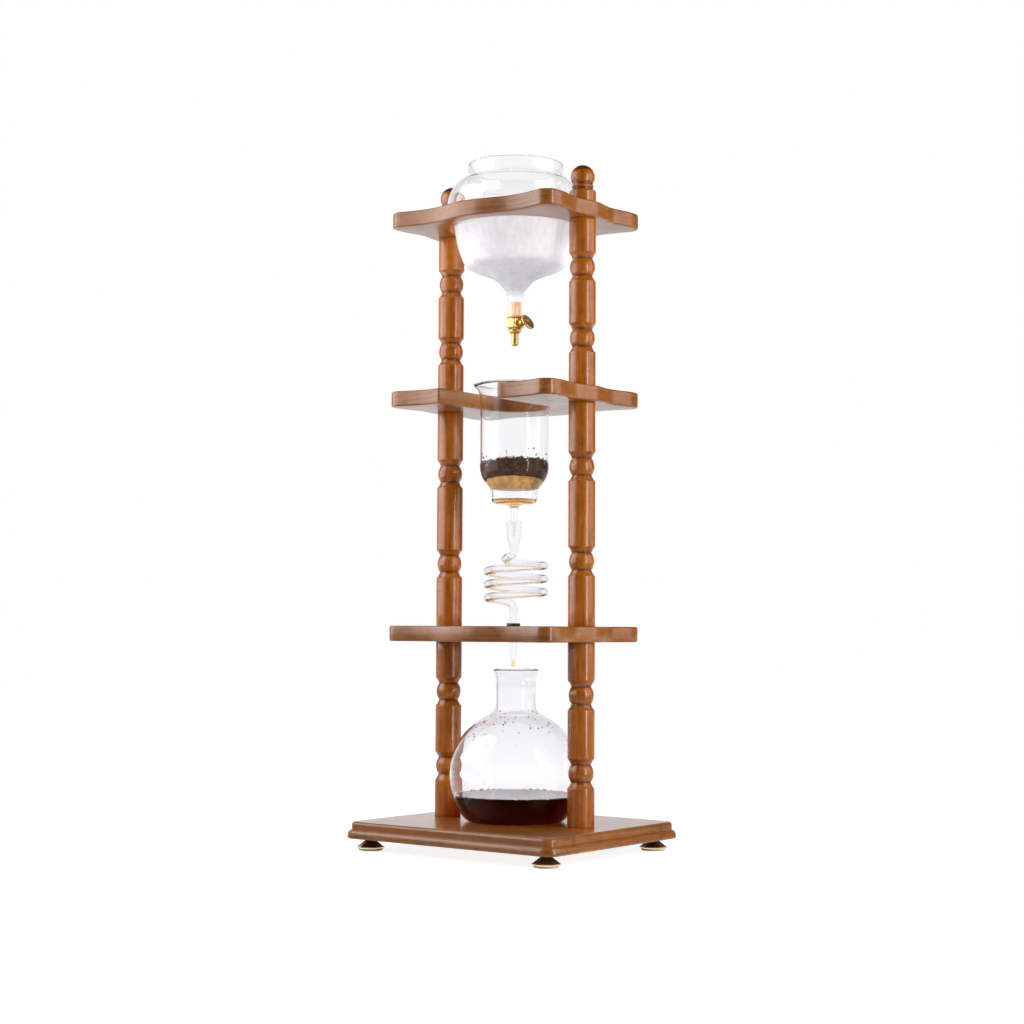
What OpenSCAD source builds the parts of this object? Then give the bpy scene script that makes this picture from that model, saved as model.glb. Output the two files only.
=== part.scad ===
// Cold drip coffee tower: a turned wooden stand that carries a water jar with a drip valve, a brew
// chamber, a glass cooling coil and a round flask, one above the other on one upright axis.
// Millimetres, +Z up. The origin is on the floor at the middle of the tower, and the front,
// where the flask is put in and the brew chamber's slot opens, looks along -Y.

/* [Base board] */
// Width of the board at the bead of its moulding
base_w = 300; // [285:1:330]
// Depth of the board at the bead of its moulding
base_d = 258; // [250:1:290]
// Thickness of the board
base_t = 19; // [18:0.5:24]
// Plan radius of the corners
base_corner_r = 12; // [11:0.5:18]
// Height of the lower, rounded step of the moulding
base_bead_h = 9.5; // [8:0.5:11]
// How far the upper step stands in from the bead
base_step_in = 5; // [4:0.5:6]
// Radius that rounds the upper step over
base_round_r = 4; // [2:0.5:4.5]

/* [Feet] */
// Distance of each foot's centre in from the two nearest edges
foot_inset = 24; // [22:1:34]
// Hexagonal cap over its corners
foot_across = 33; // [28:1:36]
// Top of the cap over its corners
foot_top_across = 13.5; // [12:0.5:16]
// Height of the cap
foot_cap_h = 9; // [7:0.5:11]
// Straight edge at the foot of the cap
foot_rim_h = 1.6; // [1:0.2:2.4]
// Diameter of the plastic glide pad
foot_pad_d = 28; // [24:1:29]
// Thickness of the glide pad
foot_pad_t = 2.5; // [2:0.25:4]
// Bare thread between cap and board, screwed right in
foot_neck_h = 2.5; // [1.5:0.25:5]
// Diameter of the levelling stud
foot_stud_d = 6; // [5:0.5:8]
// Length of stud inside the board, screwed right in
foot_stud_in = 12; // [11:0.5:13]
// Wall of the threaded insert in the board
insert_wall = 2; // [1.5:0.25:3]

/* [Posts] */
// Distance between the axes of the two posts
post_span = 194; // [190:1:206]
// Diameter of the plain lengths
post_d = 31; // [29:0.5:33]
// Length of the lower spindles
lower_l = 208; // [206:1:240]
// Length of the middle spindles
middle_l = 256; // [254:1:280]
// Length of the upper spindles
upper_l = 194; // [190:1:220]
// Middle of each bead from the ends of a lower spindle
lower_bead_in = 60; // [50:1:75]
// Middle of each bead from the ends of a middle spindle
middle_bead_in = 74; // [50:1:90]
// Middle of each bead from the ends of an upper spindle
upper_bead_in = 56; // [48:1:68]
// Diameter of a bead
bead_d = 29; // [27:0.5:30]
// Diameter of the necks beside a bead
neck_d = 22.6; // [20:0.2:24]
// Distance from the middle of a bead to each neck
neck_out = 9.8; // [9:0.2:11]
// Distance from the middle of a bead to the plain lengths
plain_out = 17.2; // [16:0.2:19]
// Height of the finial's collar
finial_collar_h = 15.5; // [12:0.5:20]
// Diameter of the finial's ball
finial_ball_d = 28; // [25:0.5:30]
// Middle of the finial's ball above the shelf
finial_ball_z = 31; // [29:0.5:36]

/* [Shelves] */
// Thickness of the shelves
shelf_t = 18; // [17:0.5:22]
// Width of the shelves over the swells in their ends
shelf_w = 238; // [234:1:250]
// Depth of the shelves over the swells in their long sides
shelf_d = 193; // [186:1:200]
// Plan radius of the shelves' corners
shelf_corner_r = 13; // [10:0.5:18]
// Depth of the waves in the long sides, crest to trough
long_wave = 10; // [2:0.5:12]
// Depth of the waves in the ends, crest to trough
end_wave = 5; // [1:0.5:6]
// Length of one wave in the long sides
long_wave_l = 128; // [120:1:140]
// Length of one wave in the ends
end_wave_l = 72; // [66:1:80]
// Diameter of the jar's hole in the top shelf
jar_hole_d = 154; // [150:0.5:156]
// Room on each side of the brew chamber in its slot
slot_room = 1; // [0.6:0.1:2]
// Radius at the mouth of the slot
slot_mouth_r = 3; // [1.5:0.5:5]

/* [Water jar] */
// Largest diameter of the jar, over its shoulder
jar_d = 162; // [160:1:168]
// Diameter of the jar's neck
jar_neck_d = 114; // [105:1:120]
// Height of the rim above the top shelf
jar_rim_h = 58; // [54:1:66]
// Length of the straight neck below the rim
jar_neck_h = 15; // [12:0.5:18]
// Depth of the bowl's knee below the top shelf
jar_knee_z = 59; // [55:1:70]
// Depth of the end of the outlet tube below the top shelf
jar_tube_z = 122; // [116:1:126]
// Outside diameter of the outlet tube
jar_tube_d = 18.8; // [17:0.2:20]
// Wall of the bowl
jar_wall = 3; // [2:0.25:4]
// Wall of the outlet tube
jar_tube_wall = 1.8; // [1.4:0.1:2.2]
// Depth of the water's surface below the top shelf
water_z = 16; // [10:1:30]

/* [Drip valve] */
// Length of the stopper inside the outlet tube
stopper_in = 17; // [12:0.5:20]
// Thickness of the stopper's flange
stopper_flange_t = 2; // [1:0.25:3]
// Diameter of the valve's threaded shank
shank_d = 7; // [6:0.5:8]
// Hexagonal body over its corners
valve_hex_across = 22.4; // [20:0.2:24]
// Height of the hexagonal body
valve_hex_h = 11.5; // [10:0.5:14]
// Diameter of the ring under the body
valve_ring_d = 14; // [12:0.5:16]
// Height of the ring and the cone above it
valve_ring_h = 6.5; // [5:0.5:8]
// Diameter of the drip nozzle
nozzle_d = 8.4; // [7:0.2:9]
// Length of the drip nozzle
nozzle_l = 14.5; // [12:0.5:16]
// Bore of the water way
water_way_d = 2.4; // [1.5:0.1:3]
// Diameter of the key's plug across the body
plug_d = 5; // [4:0.5:6]
// Diameter of the key's thumb plate
thumb_d = 20; // [16:0.5:22]
// Thickness of the thumb plate
thumb_t = 2.6; // [2:0.1:3.4]
// Distance of the thumb plate's middle from the valve's axis
thumb_out = 18.5; // [18:0.5:22]
// Lean of the thumb plate
thumb_lean = 30; // [0:5:35]

/* [Brew chamber] */
// Outside diameter of the chamber
chamber_d = 81; // [78:0.5:82]
// Diameter over the flared rim
chamber_rim_d = 90; // [88:0.5:96]
// Height of the rim above the middle shelf
chamber_rim_h = 10; // [9:0.5:14]
// Reach of the pouring lip beyond the rim
lip_reach = 4.5; // [2:0.5:6]
// Direction of the pouring lip, turned from +X towards +Y
lip_turn = 217; // [200:1:340]
// Depth of the straight wall's end below the middle shelf
chamber_curve_z = 90; // [84:1:94]
// Diameter of the cup under the filter
cup_d = 54.5; // [50:0.5:58]
// Depth of the underside of the cup below the middle shelf
cup_z = 132; // [130:0.5:136]
// Diameter of the stem
stem_d = 9; // [8:0.2:9.6]
// Diameter of the stem's tip
stem_tip_d = 5.6; // [5:0.2:6.4]
// Depth of the end of the stem below the middle shelf
stem_z = 168.5; // [166:0.5:169.5]
// Wall of the chamber
chamber_wall = 2; // [1.6:0.1:2.4]
// Wall of the chamber's stem
stem_wall = 1.2; // [0.8:0.1:1.4]
// Thickness of the filter
filter_t = 9; // [6:0.5:10]
// Depth of the filter's underside below the middle shelf
filter_z = 114; // [113:0.5:116]
// Height of the coffee bed at the wall
bed_h = 23; // [16:1:30]
// Rise of the coffee bed in the middle
bed_dome = 5; // [3:0.5:8]

/* [Cooling coil] */
// Outside diameter of the glass tube
tube_d = 9.6; // [9:0.1:10.4]
// Radius of the turns, at the middle of the tube
coil_r = 33.2; // [30:0.2:34]
// Drop of each turn
coil_pitch = 15.4; // [14:0.2:15.6]
// Diameter of the inlet funnel at its mouth
funnel_d = 19.6; // [19:0.2:21]
// Diameter of the inlet funnel half way down
funnel_waist_d = 18; // [17:0.2:18.8]
// Wall of the inlet funnel
funnel_wall = 1.3; // [1:0.1:1.6]
// Length of the inlet funnel
funnel_l = 34; // [33:0.5:36]
// Length of the inlet funnel above the stem's end
funnel_over = 17.5; // [16:0.5:18]
// Diameter of the outlet tube
outlet_d = 9; // [8.4:0.1:9.2]
// Diameter of the drip tip
tip_d = 5.6; // [4.6:0.2:6]
// Length of the drip tip
tip_l = 13; // [10:0.5:15]
// Diameter of the grommet's flanges
grommet_flange_d = 16; // [15:0.5:18]
// Thickness of the grommet's upper flange
grommet_flange_t = 3.5; // [2:0.25:4]
// Diameter of the grommet inside the shelf
grommet_d = 13; // [12:0.5:14]

/* [Flask] */
// Diameter of the flask's body
flask_d = 154; // [150:1:156]
// Diameter over the flared rim
flask_rim_d = 54.4; // [52:0.4:58]
// Outside diameter of the neck
flask_neck_d = 46.8; // [44:0.4:48]
// Height of the rim above the base board
flask_h = 176.5; // [170:0.5:177]
// Height of the middle of the body above the base board
flask_mid_h = 53; // [52:0.5:60]
// Wall of the flask
flask_wall = 2; // [1.6:0.1:2.4]
// Offset of the flask to the right of the tower's axis
flask_x = 2.5; // [-3:0.5:3]
// Offset of the flask behind the tower's axis
flask_y = 2; // [-3:0.5:3]
// Height of the brewed coffee in the flask
brew_h = 31; // [10:1:60]

/* [Joinery] */
// Diameter of the tie studs and base bolts
tie_d = 8; // [6:0.5:10]
// Length of thread in each spindle
tie_in = 24; // [18:1:28]
// Diameter of the base bolts' heads
bolt_head_d = 18; // [15:0.5:20]
// Thickness of the base bolts' heads
bolt_head_t = 4; // [3:0.25:5]
// Depth of the counterbores under the base board
counterbore_z = 6; // [5:0.25:7]

/* [Fits] */
// Room round a stud, bolt, insert or plug in its bore
fit = 0.05; // [0.02:0.01:0.1]
// Room between glass and what it rests on or passes through
glass_gap = 0.3; // [0.25:0.05:0.5]

/* [Hidden] */
$fn = 96;
// Steps of a curve between two of its points, and sides and rings of the coil's tube
curve_steps = 5;
coil_sides = 8;
coil_rings = 24;
// Faces that must cut right through run on by this much
over = 1;

// Heights, from the floor up
foot_h = foot_pad_t + foot_cap_h + foot_neck_h;
base_top = foot_h + base_t;
lower_z = base_top + lower_l;
lower_top = lower_z + shelf_t;
middle_z = lower_top + middle_l;
middle_top = middle_z + shelf_t;
upper_z = middle_top + upper_l;
upper_top = upper_z + shelf_t;

post_r = post_d / 2;
tie_r = tie_d / 2;
foot_x = base_w / 2 - foot_inset;
foot_y = base_d / 2 - foot_inset;
slot_r = chamber_d / 2 + slot_room;

wood = "saddlebrown";
brass = "darkgoldenrod";
bright_brass = "gold";
clear_glass = [0.85, 0.92, 0.95, 0.4];

// ---- curves ----

// Points of an arc about [cx, cy]
function arc(cx, cy, r, from, to, steps) =
    [for (i = [0:steps]) let (a = from + (to - from) * i / steps) [cx + r * cos(a), cy + r * sin(a)]];

function spline_point(a, b, c, d, t) =
    0.5 * ((2 * b) + (c - a) * t + (2 * a - 5 * b + 4 * c - d) * t * t
        + (3 * b - a - 3 * c + d) * t * t * t);

// A smooth curve through every point of a list
function smooth(p) = let (last = len(p) - 1) concat(
    [for (i = [0:last - 1], k = [0:curve_steps - 1])
        spline_point(p[max(i - 1, 0)], p[i], p[i + 1], p[min(i + 2, last)], k / curve_steps)],
    [p[last]]);

function along(p, i) = let (d = p[min(i + 1, len(p) - 1)] - p[max(i - 1, 0)]) d / norm(d);

// A curve moved to its right hand by a depth, which changes to another over the curve's second half
function inside(p, deep, deep_end) = [for (i = [0:len(p) - 1]) let (
        d = along(p, i),
        t = max(0, 2 * i / (len(p) - 1) - 1),
        shift = deep + (deep_end - deep) * t)
    [max(0, p[i].x + d.y * shift), p[i].y - d.x * shift]];

function backwards(p) = [for (i = [len(p) - 1:-1:0]) p[i]];

function below(p, level) = [for (q = p) if (q.y < level) q];

// Outline of what fills a vessel between two levels, given the curve that it lies against
function filling(wall, low, high) = let (widths = [for (q = wall) [q.y, q.x]]) concat(
    [[0, high], [lookup(high, widths), high]],
    [for (q = wall) if (q.y < high && q.y > low) q],
    [[lookup(low, widths), low], [0, low]]);

function ease(t) = let (s = max(0, min(1, t))) s * s * (3 - 2 * s);

// ---- base board ----

// The moulding from the underside to the top, as [distance in from the bead, height]
function moulding() = let (
        nose = 1.2,
        sweep = base_bead_h - nose,
        upper = base_t - base_round_r
    ) concat(
        [[nose, 0], [nose * 0.3, nose * 0.3], [0, nose]],
        [for (i = [1:6]) let (a = 15 * i) [(base_step_in - 1) * (1 - cos(a)), nose + sweep * sin(a)]],
        [[base_step_in, base_bead_h + 0.6]],
        [for (i = [0:6]) let (a = 15 * i)
            [base_step_in + base_round_r * (1 - cos(a)), upper + base_round_r * sin(a)]]);

module moulded_bar(length, half) {
    edge = moulding();
    rotate([90, 0, 90]) translate([0, 0, -length / 2]) linear_extrude(length)
        polygon(concat([for (e = edge) [half - e.x, e.y]], backwards([for (e = edge) [e.x - half, e.y]])));
}

module base_board() {
    edge = moulding();
    color(wood) difference() {
        translate([0, 0, foot_h]) union() {
            moulded_bar(base_w - 2 * base_corner_r, base_d / 2);
            rotate([0, 0, 90]) moulded_bar(base_d - 2 * base_corner_r, base_w / 2);
            for (sx = [-1, 1], sy = [-1, 1])
                translate([sx * (base_w / 2 - base_corner_r), sy * (base_d / 2 - base_corner_r), 0])
                    rotate_extrude() polygon(concat([[0, 0]],
                        [for (e = edge) [base_corner_r - e.x, e.y]], [[0, base_t]]));
        }
        for (side = [-1, 1]) translate([side * post_span / 2, 0, foot_h]) {
            translate([0, 0, -over]) cylinder(h = base_t + 2 * over, r = tie_r + fit);
            translate([0, 0, -over]) cylinder(h = counterbore_z + over, r = bolt_head_d / 2 + 0.5);
        }
        at_feet() translate([0, 0, foot_h - over])
            cylinder(h = foot_stud_in + 2 + over, r = foot_stud_d / 2 + insert_wall + 2 * fit);
    }
}

// ---- feet ----

module at_foot(i) {
    sx = (i == 1 || i == 3) ? -1 : 1;
    sy = i < 3 ? -1 : 1;
    translate([sx * foot_x, sy * foot_y, 0]) children();
}

module at_feet() {
    for (i = [1:4]) at_foot(i) children();
}

module foot_inserts() {
    color(bright_brass) at_feet() translate([0, 0, foot_h]) difference() {
        cylinder(h = foot_stud_in + 1, r = foot_stud_d / 2 + fit + insert_wall);
        translate([0, 0, -over]) cylinder(h = foot_stud_in + 1 + 2 * over, r = foot_stud_d / 2 + fit);
    }
}

module foot_pad(i) {
    color("wheat") at_foot(i) cylinder(h = foot_pad_t, r = foot_pad_d / 2);
}

module foot_cap(i) {
    color(brass) at_foot(i) translate([0, 0, foot_pad_t]) rotate([0, 0, 30]) {
        cylinder(h = foot_rim_h, r = foot_across / 2, $fn = 6);
        translate([0, 0, foot_rim_h])
            cylinder(h = foot_cap_h - foot_rim_h, r1 = foot_across / 2, r2 = foot_top_across / 2, $fn = 6);
    }
}

module foot_stud(i) {
    color(bright_brass) at_foot(i) translate([0, 0, foot_pad_t + foot_cap_h])
        cylinder(h = foot_neck_h + foot_stud_in, r = foot_stud_d / 2);
}

// ---- posts ----

// Half of a bead and the plain length's shoulder, from the middle outwards, as [radius, height]
function half_bead() = let (
        sag = (bead_d - neck_d) / 2,
        crown_r = (neck_out * neck_out + sag * sag) / (2 * sag),
        span = asin(neck_out / crown_r) * 0.93
    ) concat(
        arc(bead_d / 2 - crown_r, 0, crown_r, 0, span, 6),
        [[neck_d / 2, neck_out], [neck_d / 2 + 0.3, neck_out + 0.9],
         [post_r - 0.7, plain_out - 1.1], [post_r, plain_out]]);

function mirrored(p, z) = concat([for (q = backwards(p)) [q.x, z - q.y]], [for (q = p) [q.x, z + q.y]]);

module spindle(l, bead_in, from, side) {
    half = half_bead();
    color(wood) translate([side * post_span / 2, 0, from]) difference() {
        rotate_extrude() polygon(concat(
            [[0, 0], [post_r - 0.5, 0], [post_r, 0.5]],
            mirrored(half, bead_in), mirrored(half, l - bead_in),
            [[post_r, l - 0.5], [post_r - 0.5, l], [0, l]]));
        for (z = [-over, l - tie_in - 1]) translate([0, 0, z])
            cylinder(h = tie_in + 1 + over, r = tie_r + fit);
    }
}

module finial(side) {
    ball_r = finial_ball_d / 2;
    neck_r = neck_d / 2 + 0.8;
    start = -asin(sqrt(1 - neck_r * neck_r / (ball_r * ball_r)));
    color(wood) translate([side * post_span / 2, 0, upper_top]) difference() {
        rotate_extrude() polygon(concat(
            [[0, 0], [post_r - 0.5, 0], [post_r, 0.5]],
            arc(post_r - 3, finial_collar_h - 3, 3, 0, 80, 4),
            [[neck_r, finial_collar_h + 1.2]],
            arc(0, finial_ball_z, ball_r, start, 90, 12)));
        translate([0, 0, -over]) cylinder(h = tie_in + 1 + over, r = tie_r + fit);
    }
}

module tie_studs() {
    color("silver") for (side = [-1, 1], z = [lower_z, middle_z, upper_z])
        translate([side * post_span / 2, 0, z - tie_in]) cylinder(h = shelf_t + 2 * tie_in, r = tie_r);
}

module base_bolts() {
    color("silver") for (side = [-1, 1]) translate([side * post_span / 2, 0, 0]) {
        translate([0, 0, foot_h + counterbore_z - bolt_head_t])
            cylinder(h = bolt_head_t, r = bolt_head_d / 2);
        translate([0, 0, foot_h + counterbore_z - bolt_head_t])
            cylinder(h = bolt_head_t + base_t - counterbore_z + tie_in, r = tie_r);
    }
}

// ---- shelves ----

// Swell of a side at a distance from its middle, rising and falling with each wave
function swell(across, wave, length) = wave / 2 * cos(360 * across / length);

// A quarter of the outline, from the middle of the front to the middle of the right end
function quarter_outline() = let (
        hx = (shelf_w - end_wave) / 2,
        hy = (shelf_d - long_wave) / 2,
        cx = hx - shelf_corner_r,
        cy = hy - shelf_corner_r,
        front = swell(cx, long_wave, long_wave_l),
        end = swell(cy, end_wave, end_wave_l)
    ) concat(
        [for (i = [0:13]) let (x = cx * i / 14) [x, -hy - swell(x, long_wave, long_wave_l)]],
        [for (i = [0:8]) let (a = -90 + 90 * i / 8, r = shelf_corner_r + front + (end - front) * i / 8)
            [cx + r * cos(a), -cy + r * sin(a)]],
        [for (i = [1:12]) let (y = cy * (1 - i / 12)) [hx + swell(y, end_wave, end_wave_l), -y]]);

function shelf_outline() = let (q = quarter_outline(), m = len(q) - 1) concat(
    q,
    [for (i = [m - 1:-1:0]) [q[i].x, -q[i].y]],
    [for (i = [1:m]) [-q[i].x, -q[i].y]],
    [for (i = [m - 1:-1:1]) [-q[i].x, q[i].y]]);

module shelf(z) {
    translate([0, 0, z]) difference() {
        linear_extrude(shelf_t) polygon(shelf_outline());
        for (side = [-1, 1]) translate([side * post_span / 2, 0, -over])
            cylinder(h = shelf_t + 2 * over, r = tie_r + fit);
        translate([0, 0, -over]) children();
    }
}

module shelf_lower() {
    color(wood) shelf(lower_z) cylinder(h = shelf_t + 2 * over, r = grommet_d / 2 + fit);
}

module shelf_middle() {
    mouth_y = (shelf_d - long_wave) / 2 + swell(slot_r + slot_mouth_r, long_wave, long_wave_l);
    color(wood) shelf(middle_z) {
        cylinder(h = shelf_t + 2 * over, r = slot_r);
        translate([-slot_r, -shelf_d, 0]) cube([2 * slot_r, shelf_d, shelf_t + 2 * over]);
        for (side = [-1, 1]) difference() {
            translate([side * (slot_r + slot_mouth_r / 2) - slot_mouth_r / 2 - 0.5, -mouth_y - 6, 0])
                cube([slot_mouth_r + 1, slot_mouth_r + 6, shelf_t + 2 * over]);
            translate([side * (slot_r + slot_mouth_r), slot_mouth_r - mouth_y, -over])
                cylinder(h = shelf_t + 4 * over, r = slot_mouth_r);
            translate([side * (slot_r + 1.5 * slot_mouth_r + 0.5) - slot_mouth_r / 2 - 0.5,
                       -mouth_y - 7, -over]) cube([slot_mouth_r + 1, shelf_d, shelf_t + 4 * over]);
        }
    }
}

module shelf_top() {
    color(wood) shelf(upper_z) cylinder(h = shelf_t + 2 * over, r = jar_hole_d / 2);
}

module grommet() {
    bore = outlet_d / 2 + glass_gap;
    color([0.08, 0.08, 0.09]) translate([0, 0, lower_top]) difference() {
        union() {
            cylinder(h = grommet_flange_t, r = grommet_flange_d / 2);
            translate([0, 0, -shelf_t]) cylinder(h = shelf_t, r = grommet_d / 2);
        }
        translate([0, 0, -shelf_t - over]) cylinder(h = shelf_t + grommet_flange_t + 2 * over, r = bore);
    }
}

// ---- water jar ----

// The jar's outside from the rim to the end of its outlet tube, height from the top shelf
function jar_outside() = let (
        neck_r = jar_neck_d / 2,
        neck_z = jar_rim_h - jar_neck_h,
        seat_r = jar_hole_d / 2 - glass_gap,
        tube_r = jar_tube_d / 2,
        shoulder_r = jar_d / 2,
        slope = shoulder_r - neck_r,
        bowl = seat_r - tube_r,
        drop = jar_tube_z - jar_knee_z
    ) concat(
        smooth([[neck_r - 1.8, jar_rim_h - 0.7], [neck_r - 0.4, jar_rim_h - 2.4], [neck_r, jar_rim_h - 5]]),
        [[neck_r, jar_rim_h - 6], [neck_r, neck_z + 1], [neck_r, neck_z]],
        smooth([[neck_r + 0.025 * slope, 0.967 * neck_z], [neck_r + 0.125 * slope, 0.92 * neck_z],
            [neck_r + 0.46 * slope, 0.837 * neck_z], [shoulder_r - 0.21 * slope, 0.616 * neck_z],
            [shoulder_r - 0.033 * slope, 0.35 * neck_z], [shoulder_r - 0.025 * slope, 0.14 * neck_z],
            [seat_r, 0], [seat_r - 0.065 * bowl, -shelf_t],
            [seat_r - 0.12 * bowl, -0.63 * jar_knee_z], [seat_r - 0.186 * bowl, -0.865 * jar_knee_z],
            [seat_r - 0.267 * bowl, -jar_knee_z - 0.048 * drop],
            [seat_r - 0.4 * bowl, -jar_knee_z - 0.127 * drop],
            [tube_r + 0.386 * bowl, -jar_knee_z - 0.214 * drop],
            [tube_r + 0.186 * bowl, -jar_knee_z - 0.325 * drop],
            [tube_r + 0.045 * bowl, -jar_knee_z - 0.51 * drop],
            [tube_r + 0.003 * bowl, -jar_knee_z - 0.667 * drop],
            [tube_r, -jar_knee_z - 0.905 * drop], [tube_r, -jar_tube_z]]));

module water_jar() {
    outside = jar_outside();
    tube_in = jar_tube_d / 2 - jar_tube_wall;
    mouth_r = jar_neck_d / 2 - jar_wall;
    stopper_top = stopper_in - jar_tube_z;
    bore = concat([[mouth_r, jar_rim_h - 3]],
        [for (q = below(inside(outside, jar_wall, jar_tube_wall), jar_rim_h - jar_neck_h + 1.5))
            if (q.y > stopper_top + 4) q],
        [[tube_in, stopper_top + 2], [tube_in, -jar_tube_z]]);
    rim = [[mouth_r + 0.3, jar_rim_h - 1.2], [mouth_r + jar_wall / 2 - 0.4, jar_rim_h]];
    color(clear_glass) translate([0, 0, upper_top])
        rotate_extrude() polygon(concat(outside, backwards(bore), rim));
}

module iced_water() {
    wall = inside(jar_outside(), jar_wall + glass_gap, jar_tube_wall + glass_gap);
    color([0.9, 0.95, 0.97, 0.8]) translate([0, 0, upper_top])
        rotate_extrude() polygon(filling(wall, glass_gap + stopper_in - jar_tube_z, -water_z));
}

// ---- drip valve ----

tube_end = upper_top - jar_tube_z;
valve_top = tube_end - stopper_flange_t;
hex_z = valve_top - valve_hex_h;
key_z = hex_z + valve_hex_h / 2;

module jar_stopper() {
    color("peachpuff") translate([0, 0, tube_end]) difference() {
        union() {
            cylinder(h = stopper_in, r = jar_tube_d / 2 - jar_tube_wall - fit);
            translate([0, 0, -stopper_flange_t]) cylinder(h = stopper_flange_t, r = jar_tube_d / 2);
        }
        translate([0, 0, -stopper_flange_t - over])
            cylinder(h = stopper_in + stopper_flange_t + 2 * over, r = shank_d / 2 + fit);
    }
}

module drip_valve() {
    hex_r = valve_hex_across / 2;
    ring_r = valve_ring_d / 2;
    nozzle_r = nozzle_d / 2;
    color(bright_brass) difference() {
        union() {
            translate([0, 0, hex_z]) intersection() {
                cylinder(h = valve_hex_h, r = hex_r, $fn = 6);
                rotate_extrude() polygon([[0, 0], [hex_r - 1.4, 0], [hex_r, 0.8], [hex_r, valve_hex_h - 2],
                    [hex_r - 2.8, valve_hex_h], [0, valve_hex_h]]);
            }
            translate([0, 0, valve_top]) cylinder(h = stopper_in + stopper_flange_t, r = shank_d / 2);
            translate([0, 0, hex_z]) rotate_extrude() polygon(concat(
                [[0, 0], [hex_r - 2.4, 0], [ring_r, -1.8], [ring_r, 1.5 - valve_ring_h],
                 [nozzle_r + 0.6, -valve_ring_h], [nozzle_r, -valve_ring_h - 0.6]],
                arc(nozzle_r - 2.4, 2.4 - valve_ring_h - nozzle_l, 2.4, 0, -90, 5),
                [[0, -valve_ring_h - nozzle_l]]));
            translate([0, 0, key_z]) rotate([0, 90, 0]) cylinder(h = hex_r + 1.6, r = plug_d / 2 + 1.6);
        }
        translate([0, 0, hex_z - valve_ring_h - nozzle_l - over])
            cylinder(h = nozzle_l + valve_ring_h + valve_hex_h + stopper_in + stopper_flange_t + 2 * over,
                r = water_way_d / 2);
        translate([-plug_d, 0, key_z]) rotate([0, 90, 0])
            cylinder(h = 4 * plug_d + hex_r, r = plug_d / 2 + fit);
    }
}

module valve_key() {
    end_x = thumb_out - thumb_t / 2;
    color(bright_brass) translate([0, 0, key_z]) difference() {
        union() {
            translate([fit - plug_d, 0, 0]) rotate([0, 90, 0]) cylinder(h = end_x + plug_d, r = plug_d / 2);
            translate([thumb_out, 0, 0]) rotate([0, 90 - thumb_lean, 0]) translate([0, 0, -thumb_t / 2])
                cylinder(h = thumb_t, r = thumb_d / 2);
        }
        translate([0, 0, -plug_d]) cylinder(h = 2 * plug_d, r = water_way_d / 2);
    }
}

// ---- brew chamber ----

// The chamber's outside from the rim to the end of its stem, height from the middle shelf
function chamber_outside() = let (
        r = chamber_d / 2,
        cup_r = cup_d / 2,
        stem_r = stem_d / 2,
        seat_r = r + slot_room - glass_gap,
        turn_in = r - cup_r,
        floor_w = cup_r - stem_r,
        drop = cup_z - chamber_curve_z,
        stem_l = stem_z - cup_z
    ) smooth([
        [chamber_rim_d / 2, chamber_rim_h], [chamber_rim_d / 2 - 1.5, 0.7 * chamber_rim_h],
        [seat_r + 0.8, 0.4 * chamber_rim_h], [seat_r, 0], [r + 0.2, -7], [r, -14], [r, -24],
        [r, 10 - chamber_curve_z], [r, -chamber_curve_z],
        [r - 0.15 * turn_in, -chamber_curve_z - 0.12 * drop],
        [r - 0.415 * turn_in, -chamber_curve_z - 0.3 * drop],
        [cup_r + 0.25 * turn_in, -chamber_curve_z - 0.51 * drop],
        [cup_r + 0.03 * turn_in, -cup_z + 0.333 * drop], [cup_r - 0.01 * floor_w, -cup_z + 0.143 * drop],
        [cup_r - 0.154 * floor_w, -cup_z + 0.029 * drop], [cup_r - 0.44 * floor_w, -cup_z + 0.007 * drop],
        [stem_r + 0.264 * floor_w, -cup_z], [stem_r + 0.044 * floor_w, -cup_z - 0.082 * stem_l],
        [stem_r, -cup_z - 0.19 * stem_l], [stem_r, -cup_z - 0.49 * stem_l],
        [stem_tip_d / 2 + 0.4, -cup_z - 0.685 * stem_l], [stem_tip_d / 2, -stem_z]]);

// The pouring lip: a leaning cone cut off at the rim's height and at its reach
module lip(spread) {
    lip_w = 0.45 * chamber_d;
    rotate([0, 0, lip_turn]) intersection() {
        translate([chamber_d / 2 - 6, 0, -1]) rotate([0, 43, 0])
            cylinder(h = 0.8 * lip_w, r1 = 1 + spread, r2 = 0.27 * lip_w + spread);
        translate([0, -lip_w / 2, 1])
            cube([chamber_rim_d / 2 + lip_reach + spread, lip_w, chamber_rim_h - 1 + spread]);
    }
}

module brew_chamber() {
    outside = chamber_outside();
    bore = inside(outside, chamber_wall, stem_wall);
    color(clear_glass) translate([0, 0, middle_top]) difference() {
        union() {
            rotate_extrude() polygon(concat([[0, chamber_rim_h]], outside, [[0, -stem_z]]));
            intersection() {
                lip(0);
                cylinder(h = chamber_rim_h, r = chamber_rim_d);
            }
        }
        rotate_extrude() polygon(concat([[0, chamber_rim_h + over]],
            [[chamber_rim_d / 2 - chamber_wall, chamber_rim_h + over]], bore,
            [[bore[len(bore) - 1].x, -stem_z - over], [0, -stem_z - over]]));
        translate([0, 0, 0.4]) lip(-1);
        // The way from the rim out over the lip
        rotate([0, 0, lip_turn]) translate([chamber_rim_d / 2 - 6, -3.5, chamber_rim_h - 1.5])
            cube([9, 7, 3]);
    }
}

// The curve that the filter and the coffee lie against
function chamber_lining() = inside(chamber_outside(), chamber_wall + glass_gap, stem_wall + glass_gap);

module filter_disc() {
    color("burlywood") translate([0, 0, middle_top])
        rotate_extrude() polygon(filling(chamber_lining(), -filter_z, filter_t - filter_z));
}

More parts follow.
